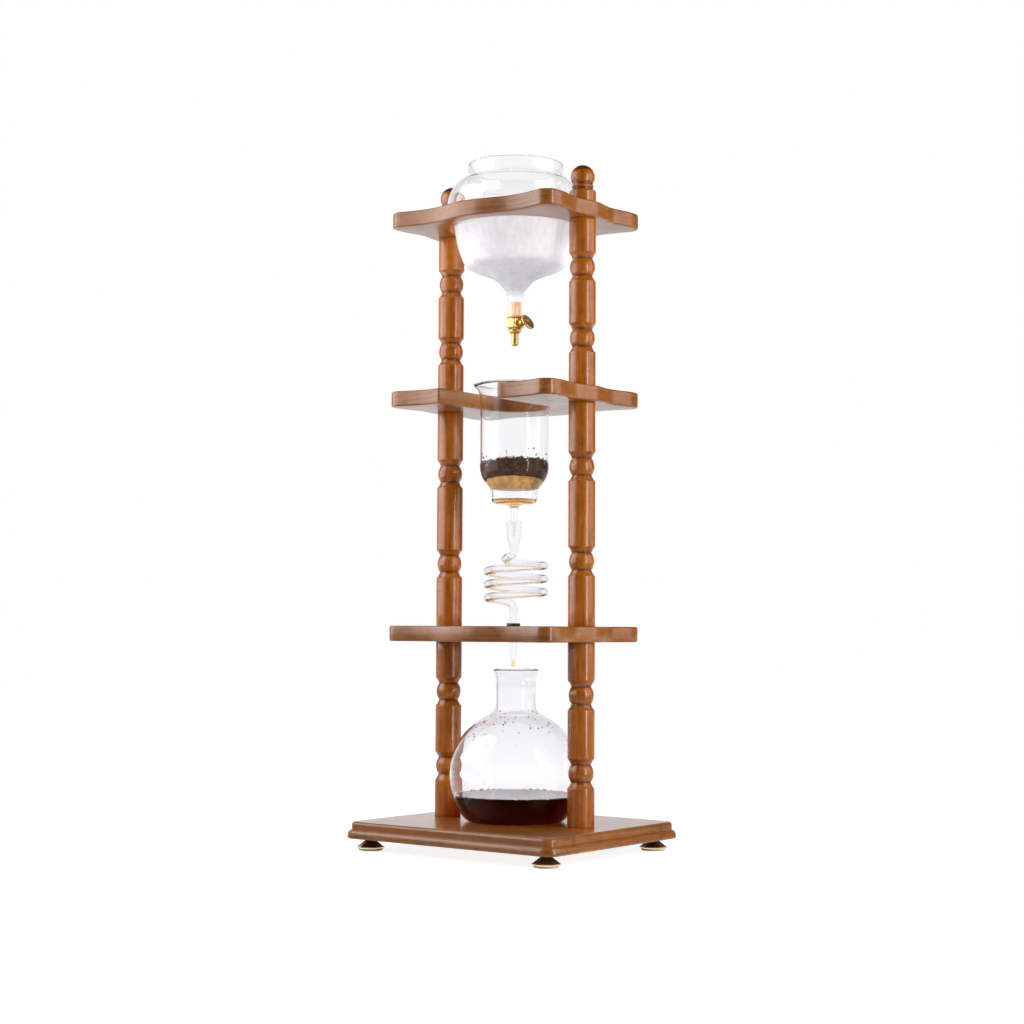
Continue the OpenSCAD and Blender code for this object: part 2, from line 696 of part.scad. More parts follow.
module coffee_bed() {
    bed_z = filter_t - filter_z;
    sides = filling(chamber_lining(), bed_z, bed_z + bed_h);
    crown = [for (i = [0:5]) let (t = i / 6) [sides[1].x * t, bed_z + bed_h + bed_dome * (1 - t * t)]];
    color([0.2, 0.12, 0.08]) translate([0, 0, middle_top])
        rotate_extrude() polygon(concat(crown, [for (i = [1:len(sides) - 1]) sides[i]]));
}

// ---- cooling coil ----

stem_end = middle_top - stem_z;
funnel_top = stem_end + funnel_over;
funnel_end = funnel_top - funnel_l;
grommet_top = lower_top + grommet_flange_t;
flask_rim_z = base_top + flask_h;
tip_end = flask_rim_z + 2;
outlet_end = tip_end + tip_l;

// The turns run clockwise seen from above, out from the inlet over spiral_in of a turn and
// back to the axis over spiral_out of a turn, and their middle lies a little off the axis.
spiral_in = 0.7;
spiral_out = 0.3;
coil_start = 290;
coil_mid = [2, 1.6];
coil_top = funnel_end - 7;
inlet_drop = 4;
outlet_drop = 14;
// As many half turns between the two spirals as there is room for above the grommet
coil_room = coil_top - outlet_drop - tube_d / 2 - grommet_top;
coil_turns = floor(2 * (coil_room / coil_pitch - spiral_in - spiral_out)) / 2;
coil_span = spiral_in + coil_turns + spiral_out;

function coil_spread(u) = u < spiral_in ? ease(u / spiral_in)
    : u > coil_span - spiral_out ? ease((coil_span - u) / spiral_out) : 1;

function coil_point(u) = let (
        s = coil_spread(u),
        a = coil_start - 360 * u,
        into = max(0, 1 - u / spiral_in),
        out_of = max(0, 1 - (coil_span - u) / spiral_out)
    ) [s * (coil_mid.x + coil_r * cos(a)), s * (coil_mid.y + coil_r * sin(a)),
       coil_top - coil_pitch * u + inlet_drop * pow(into, 3) - outlet_drop * pow(out_of, 3)];

ring_count = round(coil_span * coil_rings);
coil_points = concat(
    [[0, 0, funnel_end]],
    [for (i = [0:ring_count]) coil_point(coil_span * i / ring_count)],
    [coil_point(coil_span) - [0, 0, 4]]);

function unit(v) = v / norm(v);
function travel(p, i) = unit(p[min(i + 1, len(p) - 1)] - p[max(i - 1, 0)]);

// A direction square to the tube at each point, carried along it so that the tube doesn't twist
function carried(p, i, n) = i >= len(p) ? [] : let (
        t = travel(p, i),
        m = unit(n - (n * t) * t)
    ) concat([m], carried(p, i + 1, m));

function tube_rings(p, r, sides) = let (n = carried(p, 0, [1, 0, 0]))
    [for (i = [0:len(p) - 1], k = [0:sides - 1]) let (
            t = travel(p, i),
            b = cross(t, n[i]),
            a = 360 * k / sides
        ) p[i] + r * (cos(a) * n[i] + sin(a) * b)];

function tube_faces(rings, sides) = let (last = (rings - 1) * sides) concat(
    [for (k = [1:sides - 2]) [0, k, k + 1]],
    [for (i = [0:rings - 2], k = [0:sides - 1], h = [0, 1]) let (
            a = i * sides + k,
            b = i * sides + (k + 1) % sides
        ) h == 0 ? [a, b + sides, b] : [a, a + sides, b + sides]],
    [for (k = [1:sides - 2]) [last, last + k + 1, last + k]]);

// The least gap between parts of the tube that lie more than a third of a turn apart
apart = floor(coil_rings / 3);
coil_gap = min([for (i = [0:len(coil_points) - 1 - apart], j = [i + apart:len(coil_points) - 1])
    norm(coil_points[i] - coil_points[j])]) - tube_d;
echo(least_gap_of_the_coil_to_itself = coil_gap);
assert(coil_gap > 0.4, "the turns of the coil touch");

module swept_tube(p, r, sides) {
    polyhedron(tube_rings(p, r, sides), tube_faces(len(p), sides), convexity = 8);
}

// The funnel that catches the drops, with a solid foot for the coil's tube
module coil_inlet() {
    waist_r = funnel_waist_d / 2;
    waist_z = -funnel_l * 0.55;
    foot_z = 3 - funnel_l;
    outside = smooth([[funnel_d / 2, 0], [waist_r + 0.1, -3], [waist_r - 0.1, -8],
        [waist_r - 0.4, waist_z + 4], [tube_d / 2 + 3, waist_z - 4],
        [tube_d / 2 + 0.6, 4 - funnel_l], [tube_d / 2, -funnel_l]]);
    bore = below(inside(outside, funnel_wall, funnel_wall), -0.2);
    bore_end = bore[len(bore) - 1];
    color(clear_glass) translate([0, 0, funnel_top]) rotate_extrude() polygon(concat(
        outside, [[0, -funnel_l], [0, foot_z - 1], [bore_end.x, foot_z]],
        backwards([for (q = bore) if (q.y > foot_z) q]), [[funnel_d / 2 - funnel_wall, 0]]));
}

module glass_coil() {
    outlet_top = coil_points[len(coil_points) - 1].z + 3;
    color(clear_glass) {
        swept_tube(coil_points, tube_d / 2, coil_sides);
        rotate_extrude() polygon(concat(
            [[0, tip_end]], arc(tip_d / 2 - 1.6, tip_end + 1.6, 1.6, -90, 0, 4),
            [[tip_d / 2, outlet_end - 2.5], [outlet_d / 2, outlet_end]],
            [[outlet_d / 2, outlet_top], [0, outlet_top]]));
    }
}

// ---- flask ----

// The flask's outside from the rim to the middle of its base, height from the base board
function flask_outside() = let (
        r = flask_d / 2,
        neck_r = flask_neck_d / 2,
        top_a = 67,
        low_a = -asin((flask_mid_h - 4) / r),
        shoulder = [r * cos(top_a), flask_mid_h + r * sin(top_a)],
        heel = [r * cos(low_a), flask_mid_h + r * sin(low_a)]
    ) concat(
        smooth([[flask_rim_d / 2, flask_h], [flask_rim_d / 2 - 0.6, flask_h - 2.4],
            [neck_r + 1.2, flask_h - 7.5], [neck_r + 0.1, flask_h - 13]]),
        [[neck_r, flask_h - 15], [neck_r, flask_h - 16]],
        [[neck_r, shoulder.y + 13], [neck_r, shoulder.y + 12]],
        smooth([[neck_r + 0.3, shoulder.y + 9], [neck_r + 1.4, shoulder.y + 5], shoulder]),
        arc(0, flask_mid_h, r, top_a - 4, low_a, 30),
        [heel + [-2.6, -2.1], heel + [-6, -3.5], [heel.x - 10, 0], [0, 0]]);

function flask_floor_r() = let (p = flask_outside()) p[len(p) - 2].x - flask_wall;

module at_flask() {
    translate([flask_x, flask_y, base_top]) children();
}

module flask() {
    outside = flask_outside();
    last = len(outside) - 1;
    lined = inside([for (i = [0:last - 3]) outside[i]], flask_wall, flask_wall);
    bore = below(lined, flask_h - 0.5);
    color(clear_glass) at_flask() rotate_extrude() polygon(concat(outside,
        [[0, flask_wall], [flask_floor_r(), flask_wall]], backwards(bore),
        [[flask_rim_d / 2 - flask_wall, flask_h]]));
}

module brewed_coffee() {
    deep = flask_wall + glass_gap;
    walls = [for (q = inside(flask_outside(), deep, deep)) if (q.y < brew_h && q.y > deep + 1.5) q];
    color([0.16, 0.03, 0.01]) at_flask() rotate_extrude() polygon(concat(
        [[0, brew_h], [walls[0].x, brew_h]], walls, [[flask_floor_r() - glass_gap, deep], [0, deep]]));
}

base_board();
foot_inserts();
foot_cap(1);  // foot_cap_1
foot_pad(1);  // foot_pad_1
foot_stud(1);  // foot_stud_1
foot_cap(2);  // foot_cap_2
foot_pad(2);  // foot_pad_2
foot_stud(2);  // foot_stud_2
foot_cap(3);  // foot_cap_3
foot_pad(3);  // foot_pad_3
foot_stud(3);  // foot_stud_3
foot_cap(4);  // foot_cap_4
foot_pad(4);  // foot_pad_4
foot_stud(4);  // foot_stud_4
spindle(lower_l, lower_bead_in, base_top, -1);  // lower_spindle_left
spindle(lower_l, lower_bead_in, base_top, 1);  // lower_spindle_right
spindle(middle_l, middle_bead_in, lower_top, -1);  // middle_spindle_left
spindle(middle_l, middle_bead_in, lower_top, 1);  // middle_spindle_right
spindle(upper_l, upper_bead_in, middle_top, -1);  // upper_spindle_left
spindle(upper_l, upper_bead_in, middle_top, 1);  // upper_spindle_right
finial(-1);  // finial_left
finial(1);  // finial_right
shelf_lower();
shelf_middle();
shelf_top();
tie_studs();
base_bolts();
grommet();
water_jar();
iced_water();
jar_stopper();
drip_valve();
valve_key();
brew_chamber();
filter_disc();
coffee_bed();
coil_inlet();
glass_coil();
flask();
brewed_coffee();
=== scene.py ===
from math import asin, cos, degrees, pi, radians, sin

import bpy
import numpy as np
from mathutils import Matrix, Vector


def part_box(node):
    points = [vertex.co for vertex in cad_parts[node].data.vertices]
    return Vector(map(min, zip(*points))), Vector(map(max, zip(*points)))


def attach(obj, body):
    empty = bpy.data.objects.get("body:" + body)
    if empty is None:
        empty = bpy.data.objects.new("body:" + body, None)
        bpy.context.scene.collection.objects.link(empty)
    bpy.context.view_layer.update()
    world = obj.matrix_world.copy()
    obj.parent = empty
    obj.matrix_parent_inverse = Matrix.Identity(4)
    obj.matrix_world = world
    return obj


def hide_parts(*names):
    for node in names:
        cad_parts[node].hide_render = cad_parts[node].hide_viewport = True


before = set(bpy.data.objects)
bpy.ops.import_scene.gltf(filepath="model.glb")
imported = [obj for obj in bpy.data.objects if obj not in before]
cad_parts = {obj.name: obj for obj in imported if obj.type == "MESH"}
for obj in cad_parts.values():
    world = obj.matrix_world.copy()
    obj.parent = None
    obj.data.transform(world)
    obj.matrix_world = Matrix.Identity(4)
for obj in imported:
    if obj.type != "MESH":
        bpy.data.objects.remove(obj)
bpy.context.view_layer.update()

mm = 0.001  # shapes are worked out in millimetres and made in metres


def topOf(node):
    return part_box(node)[1].z / mm


def bottomOf(node):
    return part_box(node)[0].z / mm


# ---- shapes ----

def curve(points, steps=8):
    # Each stretch is a cubic through its two points, and leaves each along the line between its neighbours
    p = np.asarray(points, float)
    padded = np.vstack([p[:1], p, p[-1:]])
    t = (np.arange(steps) / steps)[None, :, None]
    a, b, c, d = (padded[k:len(p) - 1 + k][:, None] for k in range(4))
    body = 0.5 * (2 * b + (c - a) * t + (2 * a - 5 * b + 4 * c - d) * t ** 2 + (3 * b - a - 3 * c + d) * t ** 3)
    return np.vstack([body.reshape(-1, p.shape[1]), p[-1:]])


def arc(centre, r, start, end, steps=8):
    # Points at the radius from the centre, at even angles from start to end in degrees
    a = np.radians(np.linspace(start, end, steps + 1))
    return np.stack([centre[0] + r * np.cos(a), centre[1] + r * np.sin(a)], 1)


def chain(*parts):
    return np.vstack([np.asarray(part, float) for part in parts])


def inset(profile, depth, depthEnd=None):
    # Every point moves square to the way along the profile, to its right hand, by a depth that
    # stays the same over the first half and changes evenly to depthEnd over the second
    way = np.gradient(profile, axis=0)
    way /= np.linalg.norm(way, axis=1)[:, None]
    late = np.clip(np.linspace(-1, 1, len(profile)), 0, 1)
    shift = depth + ((depth if depthEnd is None else depthEnd) - depth) * late
    moved = profile + np.stack([way[:, 1], -way[:, 0]], 1) * shift[:, None]
    moved[:, 0] = np.maximum(moved[:, 0], 0)
    return moved


def roundEnd(first, second, steps=6):
    # Half a circle from one point to the other, bulging to the left hand of the way between them
    middle = (first + second) / 2
    half = first - middle
    side = np.array([half[1], -half[0]])
    a = np.linspace(0, pi, steps + 2)[1:-1, None]
    return middle + half * np.cos(a) + side * np.sin(a)


def gridQuads(rows, columns, closeRows=False, closeColumns=True):
    # The four corners of every cell of a grid, whose last row or column may join on to its first
    index = np.arange(rows * columns).reshape(rows, columns)
    if closeRows:
        index = np.vstack([index, index[:1]])
    if closeColumns:
        index = np.hstack([index, index[:, :1]])
    return np.stack([index[:-1, :-1], index[:-1, 1:], index[1:, 1:], index[1:, :-1]], -1).reshape(-1, 4)


def lathe(profile, segments=128, centre=(0, 0), closed=False):
    # A point at radius r and height z goes round to (cx + r cos a, cy + r sin a, z)
    profile = np.asarray(profile, float)
    a = np.arange(segments) * 2 * pi / segments
    r, z = profile[:, :1], profile[:, 1:]
    points = np.stack([centre[0] + r * np.cos(a), centre[1] + r * np.sin(a), z + 0 * a], -1)
    return points, gridQuads(len(profile), segments, closeRows=closed)


def sweepFrames(path):
    # The way along the path, and two directions square to it that turn as little as they can
    way = np.gradient(path, axis=0)
    way /= np.linalg.norm(way, axis=1)[:, None]
    side = np.empty_like(way)
    last = np.cross(way[0], [0.0, 1.0, 0.0])
    for i, w in enumerate(way):
        last = last - w * (last @ w)
        last /= np.linalg.norm(last)
        side[i] = last
    return way, side, np.cross(way, side)


def tube(path, radii, sides=24, frames=None):
    # Circles of the given radius round each point of the path, square to it
    way, across, up = frames or sweepFrames(path)
    a = np.arange(sides) * 2 * pi / sides
    ring = across[:, None] * np.cos(a)[None, :, None] + up[:, None] * np.sin(a)[None, :, None]
    return path[:, None] + ring * np.broadcast_to(radii, len(path))[:, None, None]


def joined(*parts):
    # Several grids as one list of points and one of quads
    points, quads, count = [], [], 0
    for part in parts:
        flat = np.asarray(part[0]).reshape(-1, 3)
        points.append(flat)
        quads.append(part[1] + count)
        count += len(flat)
    return np.vstack(points), np.vstack(quads)


def turned(points, axis, angle, centre):
    spin = np.array(Matrix.Rotation(radians(angle), 3, axis))
    return (np.asarray(points) - centre) @ spin.T + centre


def signedVolume(points, faces):
    # A closed shell whose faces point outwards holds a volume above zero
    total = 0.0
    for corners in faces:
        p = points[corners]
        fan = np.cross(p[:, 1:-1] , p[:, 2:])
        total += (p[:, :1] * fan).sum() / 6
    return total


def addPiece(name, shape, material, body, replaced=(), ends=False, crease=40, values=None):
    # Points that fall together become one, and a quad that loses a corner becomes a triangle
    grid = np.asarray(shape[0], float)
    flat = grid.reshape(-1, 3)
    merged, first, label = np.unique(np.round(flat, 5), axis=0, return_index=True, return_inverse=True)
    label = label.reshape(-1)
    corners = label[shape[1]]
    fresh = corners != np.roll(corners, 1, axis=1)
    quads = corners[fresh.all(1)]
    three = fresh.sum(1) == 3
    triangles = corners[three][fresh[three]].reshape(-1, 3)
    faces = [part for part in (quads, triangles) if len(part)]
    if ends:
        columns = grid.shape[1]
        faces += [label[:columns][::-1][None], label[-columns:][None]]
    if signedVolume(merged, faces) < 0:
        faces = [part[:, ::-1] for part in faces]
    mesh = bpy.data.meshes.new(name)
    mesh.from_pydata((merged * mm).tolist(), [], [face for part in faces for face in part.tolist()])
    mesh.shade_smooth()
    mesh.set_sharp_from_angle(angle=radians(crease))
    if values is not None:
        mesh.attributes.new("shade", "FLOAT", "POINT").data.foreach_set("value", values.reshape(-1)[first].astype(np.float32))
    piece = bpy.data.objects.new(name, mesh)
    bpy.context.scene.collection.objects.link(piece)
    mesh.materials.append(material)
    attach(piece, body)
    if replaced:
        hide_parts(*replaced)
    return piece


# ---- shaders ----

class Wire:
    # An output of a node. Arithmetic on it adds the Math nodes.
    def __init__(self, paint, socket):
        self.paint, self.socket = paint, socket

    def maths(self, operation, *values):
        return self.paint.add("ShaderNodeMath", {"operation": operation}, dict(enumerate(values)))

    def __add__(self, other): return self.maths("ADD", self, other)
    def __radd__(self, other): return self.maths("ADD", other, self)
    def __sub__(self, other): return self.maths("SUBTRACT", self, other)
    def __rsub__(self, other): return self.maths("SUBTRACT", other, self)
    def __mul__(self, other): return self.maths("MULTIPLY", self, other)
    def __rmul__(self, other): return self.maths("MULTIPLY", other, self)
    def __truediv__(self, other): return self.maths("DIVIDE", self, other)
    def __pow__(self, other): return self.maths("POWER", self, other)
    def __neg__(self): return self.maths("MULTIPLY", self, -1)


class Paint:
    # The node tree of one material, or of the world
    def __init__(self, owner):
        owner.use_nodes = True
        self.tree = owner.node_tree
        self.tree.nodes.clear()

    def add(self, kind, settings=None, inputs=None, output=0):
        node = self.tree.nodes.new(kind)
        for key, value in (settings or {}).items():
            if key == "stops":
                stops = node.color_ramp.elements
                while len(stops) < len(value):
                    stops.new(0.5)
                for stop, (place, tone) in zip(stops, value):
                    stop.position, stop.color = place, (tone, tone, tone, 1) if np.isscalar(tone) else (*tone, 1)
            else:
                setattr(node, key, value)
        for key, value in (inputs or {}).items():
            if isinstance(value, Wire):
                self.tree.links.new(value.socket, node.inputs[key])
            elif isinstance(node.inputs[key].default_value, float) or np.isscalar(value):
                node.inputs[key].default_value = value
            else:
                wanted = len(node.inputs[key].default_value)
                node.inputs[key].default_value = (*value, 1)[:wanted]
        return Wire(self, node.outputs[output])

    def place(self):
        return self.add("ShaderNodeTexCoord", output="Object")

    def split(self, vector):
        node = self.add("ShaderNodeSeparateXYZ", inputs={0: vector}).socket.node
        return [Wire(self, out) for out in node.outputs]

    def scaled(self, vector, factors, shift=(0, 0, 0)):
        return self.add("ShaderNodeVectorMath", {"operation": "MULTIPLY_ADD"}, {0: vector, 1: factors, 2: shift})

    def noise(self, vector, scale, detail=2.0, roughness=0.5, distortion=0.0):
        return self.add("ShaderNodeTexNoise", inputs={
            "Vector": vector, "Scale": scale, "Detail": detail, "Roughness": roughness, "Distortion": distortion})

    def spread(self, value, low, high, smooth=True):
        # 0 below low, 1 above high
        kind = "SMOOTHSTEP" if smooth else "LINEAR"
        return self.add("ShaderNodeMapRange", {"interpolation_type": kind}, {0: value, 1: low, 2: high, 3: 0.0, 4: 1.0})

    def mixed(self, factor, first, second, blend="MIX"):
        return self.add("ShaderNodeMix", {"data_type": "RGBA", "blend_type": blend},
                        {0: factor, 6: first, 7: second}, output=2)

    def bump(self, height, distance, strength=1.0):
        return self.add("ShaderNodeBump", inputs={"Height": height, "Distance": distance, "Strength": strength})

    def principled(self, **inputs):
        names = {"colour": "Base Color", "roughness": "Roughness", "metallic": "Metallic", "normal": "Normal",
                 "coat": "Coat Weight", "coatRoughness": "Coat Roughness", "clear": "Transmission Weight",
                 "ior": "IOR", "sheen": "Sheen Weight", "alpha": "Alpha", "inner": "Subsurface Weight",
                 "innerReach": "Subsurface Scale", "specular": "Specular IOR Level"}
        return self.add("ShaderNodeBsdfPrincipled", inputs={names[key]: value for key, value in inputs.items()})

    def lettingLight(self, surface, share):
        # Light that is on its way to a lamp goes straight through, so that what stands behind glass is lit
        shadow = self.add("ShaderNodeLightPath", output="Is Shadow Ray")
        straight = self.add("ShaderNodeBsdfTransparent", inputs={"Color": (share, share, share)})
        return self.add("ShaderNodeMixShader", inputs={0: shadow, 1: surface, 2: straight})

    def finish(self, surface, volume=None):
        out = self.tree.nodes.new("ShaderNodeOutputMaterial")
        self.tree.links.new(surface.socket, out.inputs["Surface"])
        if volume is not None:
            self.tree.links.new(volume.socket, out.inputs["Volume"])


def newPaint(name):
    material = bpy.data.materials.new(name)
    return material, Paint(material)


woodLook = {"fibre": 620, "streak": 170, "figure": 30, "poreSize": 1300, "squeeze": 0.045, "roughness": 0.33,
            "coatRoughness": 0.18, "row": 0.052, "length": 0.17, "rowShift": 0.37, "firstSeam": 0.728, "blockTone": 0.24,
            "coat": 0.62, "coatBelow": 0.45}
postStain = {"deep": (0.215, 0.046, 0.0025), "middle": (0.415, 0.115, 0.0065), "pale": (0.58, 0.20, 0.018),
             "poreAndShade": (0.060, 0.010, 0.0008)}
boardStain = {"deep": (0.175, 0.052, 0.008), "middle": (0.335, 0.112, 0.018), "pale": (0.47, 0.20, 0.050),
              "poreAndShade": (0.070, 0.020, 0.004)}


def stainedWood(name, stain, shift=(0, 0, 0), board=False):
    # Noise squeezed along the grain. A post's grain runs up it. A board is glued up from blocks in rows, each with
    # its own tone and stretch of the pattern, and its grain runs along X on its faces and along every edge.
    material, paint = newPaint(name)
    look = woodLook
    coat = look["coat"]
    place = paint.scaled(paint.place(), (1, 1, 1), shift)
    squeeze = look["squeeze"]
    if board:
        x, y, z = paint.split(paint.place())
        row = y / look["row"] + 0.5
        row = row.maths("FLOOR", row)
        number = x / look["length"] + row * look["rowShift"] + look["firstSeam"]
        number = number.maths("FLOOR", number) * 13 + row * 5
        tone = paint.add("ShaderNodeTexWhiteNoise", {"noise_dimensions": "1D"}, {"W": number}, output="Value")
        up = paint.split(paint.add("ShaderNodeTexCoord", output="Normal"))[2]
        onFace = paint.spread(up.maths("ABSOLUTE", up), 0.5, 0.85)
        coat = coat + paint.spread(-up, 0.5, 0.85) * (look["coatBelow"] - look["coat"])
        sx, sy, sz = paint.split(paint.scaled(place, (1, 1, 1)))
        place = paint.add("ShaderNodeCombineXYZ", inputs={0: sx + number * 0.37, 1: sy + number * 0.11, 2: sz + number * 0.23})
        lx, ly, lz = sx * squeeze + number * 0.37, sy * (squeeze + onFace * (1 - squeeze)) + number * 0.11, sz + number * 0.23
        lean = (tone - 0.5) * 0.10  # each block's grain runs out at its own small angle
        along = paint.add("ShaderNodeCombineXYZ", inputs={0: lx, 1: ly, 2: lz + sx * lean})
        paintedLighting = 0.0
    else:
        tone = 0.5
        along = paint.scaled(place, (1, 1, squeeze))
        # The shade attribute carries the painted shade of the turning's grooves
        paintedLighting = paint.add("ShaderNodeAttribute", {"attribute_name": "shade"}, output="Fac")
    fibre = paint.noise(along, look["fibre"], 5.0, 0.68)
    streak = paint.noise(along, look["streak"], 3.0, 0.6, 0.4)
    figure = paint.noise(along, look["figure"], 2.0, 0.5, 0.8)
    rings = figure * 60
    rings = rings.maths("SINE", rings) * 0.5 + 0.5
    blotch = paint.noise(place, 48, 5.0, 0.66, 0.4)
    pores = 1 - paint.spread(paint.noise(along, look["poreSize"], 2.0, 0.6), 0.28, 0.40)
    lines = 0.55 if board else 0.95
    depth = (fibre - 0.5) * lines + (streak - 0.5) * lines + (rings - 0.5) * 0.20 + (blotch - 0.5) * 1.0 + 0.5
    if board:
        depth = depth + (tone - 0.5) * look["blockTone"]
    colour = paint.mixed(paint.spread(depth, 0.05, 0.52), stain["deep"], stain["middle"])
    colour = paint.mixed(paint.spread(depth, 0.52, 1.0) * 0.85, colour, stain["pale"])
    colour = paint.mixed(pores * 0.5, colour, stain["poreAndShade"])
    # Painted shade: the shade attribute darkens the grooves of the turning towards the pore colour
    colour = paint.mixed(paintedLighting, colour, stain["poreAndShade"])
    rough = look["roughness"] + (fibre - 0.5) * 0.14 + pores * 0.14
    height = fibre * 0.6 + streak * 0.5 - pores * 0.8
    paint.finish(paint.principled(
        colour=colour, roughness=rough, specular=0.25, coat=coat - pores * 0.3, coatRoughness=look["coatRoughness"],
        normal=paint.bump(height, 0.00005)))
    return material


glassLook = {"tint": (0.82, 0.81, 0.86), "ripple": 0.0005}


def clearGlass(name, density, ior, ripple=1.0, haze=None, gloss=0.5):
    # Blown glass: clear, a little wavy, with faint smears. Its body takes a little light, so edges read darker.
    material, paint = newPaint(name)
    place = paint.place()
    smear = paint.spread(paint.noise(place, 21, 4.0, 0.6, 0.8), 0.55, 0.8)
    wave = paint.noise(place, 26, 2.0, 0.4)
    surface = paint.principled(
        colour=(1, 1, 1), clear=1.0, roughness=smear * 0.03, ior=ior, specular=gloss,
        normal=paint.bump(wave, glassLook["ripple"] * ripple))
    volume = paint.add("ShaderNodeVolumeAbsorption", inputs={"Color": glassLook["tint"], "Density": density})
    if haze:
        surface = haze(paint, place, surface)
    paint.finish(paint.lettingLight(surface, 0.93), volume)
    return material


frostLook = {"white": (0.97, 0.972, 0.985), "from": 0.7290, "over": 0.004, "low": 0.6420, "high": 0.6620,
             "paintedShadeGrey": (0.66, 0.66, 0.675)}


def frostedBelowShelf(paint, place, clear):
    # Ice in the jar fogs the bowl under the shelf: fine droplets that scatter light, washed thin in streaks, with
    # painted shade greying the mist towards the bottom
    x, y, z = paint.split(place)
    below = 1 - paint.spread(z, frostLook["from"] - frostLook["over"], frostLook["from"] + frostLook["over"])
    above = paint.spread(z, frostLook["low"], frostLook["high"])
    streaks = paint.noise(paint.scaled(place, (1, 1, 0.08)), 190, 3.0, 0.6)
    clouds = paint.noise(place, 30, 3.0, 0.55)
    cover = 0.006 + above * (0.60 + paint.spread(streaks, 0.35, 0.7) * 0.12 + paint.spread(clouds, 0.35, 0.7) * 0.18)
    beads = paint.noise(place, 1800, 2.0, 0.7)
    thin = paint.principled(colour=(1, 1, 1), clear=1.0, roughness=0.08, ior=1.03, specular=1.0)
    # Painted shade: the mist greys towards the bottom of the bowl, below 0.70 m
    shade = paint.mixed(paint.spread(z, 0.655, 0.700), frostLook["paintedShadeGrey"], frostLook["white"])
    mist = paint.principled(colour=shade, clear=0.78, roughness=0.85, ior=1.33, normal=paint.bump(beads, 0.0001, 0.3))
    fogged = paint.add("ShaderNodeMixShader", inputs={0: cover, 1: thin, 2: mist})
    return paint.add("ShaderNodeMixShader", inputs={0: below, 1: clear, 2: fogged})


def polishedBrass(name, colour, dark, roughness, scratch=900, metal=0.88, paintedLighting=None):
    # Turned brass: fine rings from the lathe, a rubbed film of tarnish and fingerprints, and, where asked, a painted
    # reflection of the floor low down
    material, paint = newPaint(name)
    place = paint.place()
    lines = paint.noise(paint.scaled(place, (0.2, 0.2, 1)), scratch, 3.0, 0.6)
    tarnish = paint.spread(paint.noise(place, 90, 5.0, 0.65, 0.5), 0.42, 0.72)
    shown = paint.mixed(tarnish * 0.5, colour, dark)
    if paintedLighting:
        # Painted reflection: a lighter band low down stands in for the white floor mirrored in the rim
        low, high, bright = paintedLighting
        edge = 1 - paint.spread(paint.split(place)[2], low, high)
        shown = paint.mixed(edge, shown, bright)
    paint.finish(paint.principled(
        colour=shown, metallic=metal,
        roughness=roughness + tarnish * 0.12 + (lines - 0.5) * 0.08, normal=paint.bump(lines, 0.00002)))
    return material


def bareSteel(name):
    material, paint = newPaint(name)
    place = paint.place()
    grainy = paint.noise(place, 420, 4.0, 0.6)
    dull = paint.noise(place, 60, 3.0, 0.5)
    paint.finish(paint.principled(
        colour=paint.mixed(dull, (0.42, 0.42, 0.44), (0.66, 0.66, 0.64)), metallic=1.0,
        roughness=0.28 + grainy * 0.22, normal=paint.bump(grainy, 0.00003)))
    return material


def softPlastic(name, colour, second, roughness, scale=260, inner=0.0):
    # Moulded rubber, silicone or plastic: a fine skin, a little dust and slow changes of tone
    material, paint = newPaint(name)
    place = paint.place()
    skin = paint.noise(place, scale * 6, 3.0, 0.6)
    cloud = paint.noise(place, scale, 4.0, 0.6)
    paint.finish(paint.principled(
        colour=paint.mixed(cloud, colour, second), roughness=roughness + (skin - 0.5) * 0.2,
        inner=inner, innerReach=0.002, normal=paint.bump(skin, 0.00004)))
    return material


clothLook = {"from": 0.4245, "to": 0.4335, "stain": (0.16, 0.075, 0.030)}


def wetCloth(name):
    # Felt soaked with coffee: short fibres, grounds caught in it and darker patches where it drips
    material, paint = newPaint(name)
    place = paint.place()
    felt = paint.noise(place, 1500, 4.0, 0.7, 0.6)
    patch = paint.noise(place, 120, 4.0, 0.6, 0.4)
    grit = paint.spread(paint.noise(place, 900, 2.0, 0.6), 0.64, 0.72)
    colour = paint.mixed(paint.spread(patch, 0.35, 0.65), (0.36, 0.165, 0.034), (0.68, 0.38, 0.10))
    colour = paint.mixed(felt * 0.3, colour, (0.70, 0.44, 0.16))
    x, y, z = paint.split(place)
    soaked = paint.spread(z + (patch - 0.5) * 0.010, clothLook["from"], clothLook["to"])
    colour = paint.mixed(soaked * (0.10 + grit * 0.6), colour, clothLook["stain"])
    colour = paint.mixed(grit * 0.8, colour, (0.05, 0.02, 0.008))
    paint.finish(paint.principled(colour=colour, roughness=0.42 + felt * 0.2, coat=0.3, coatRoughness=0.2,
                                  normal=paint.bump(felt, 0.00025)))
    return material


def wetGrounds(name):
    # Ground coffee soaked through: crumbs of two browns with a wet gloss
    material, paint = newPaint(name)
    place = paint.place()
    crumbs = paint.add("ShaderNodeTexVoronoi", {"feature": "F1"}, {"Vector": place, "Scale": 820}, output="Distance")
    tint = paint.add("ShaderNodeTexVoronoi", {"feature": "F1"}, {"Vector": place, "Scale": 820}, output="Color")
    shade = paint.split(tint)[0]
    lumps = paint.noise(place, 260, 4.0, 0.7)
    colour = paint.mixed(shade, (0.004, 0.0015, 0.001), (0.085, 0.036, 0.016))
    colour = paint.mixed(paint.spread(shade, 0.91, 0.97) * 0.6, colour, (0.30, 0.13, 0.05))
    paint.finish(paint.principled(colour=colour, roughness=0.40 + lumps * 0.25, specular=0.2,
                                  normal=paint.bump(lumps * 0.6 - crumbs * 0.6, 0.0006)))
    return material


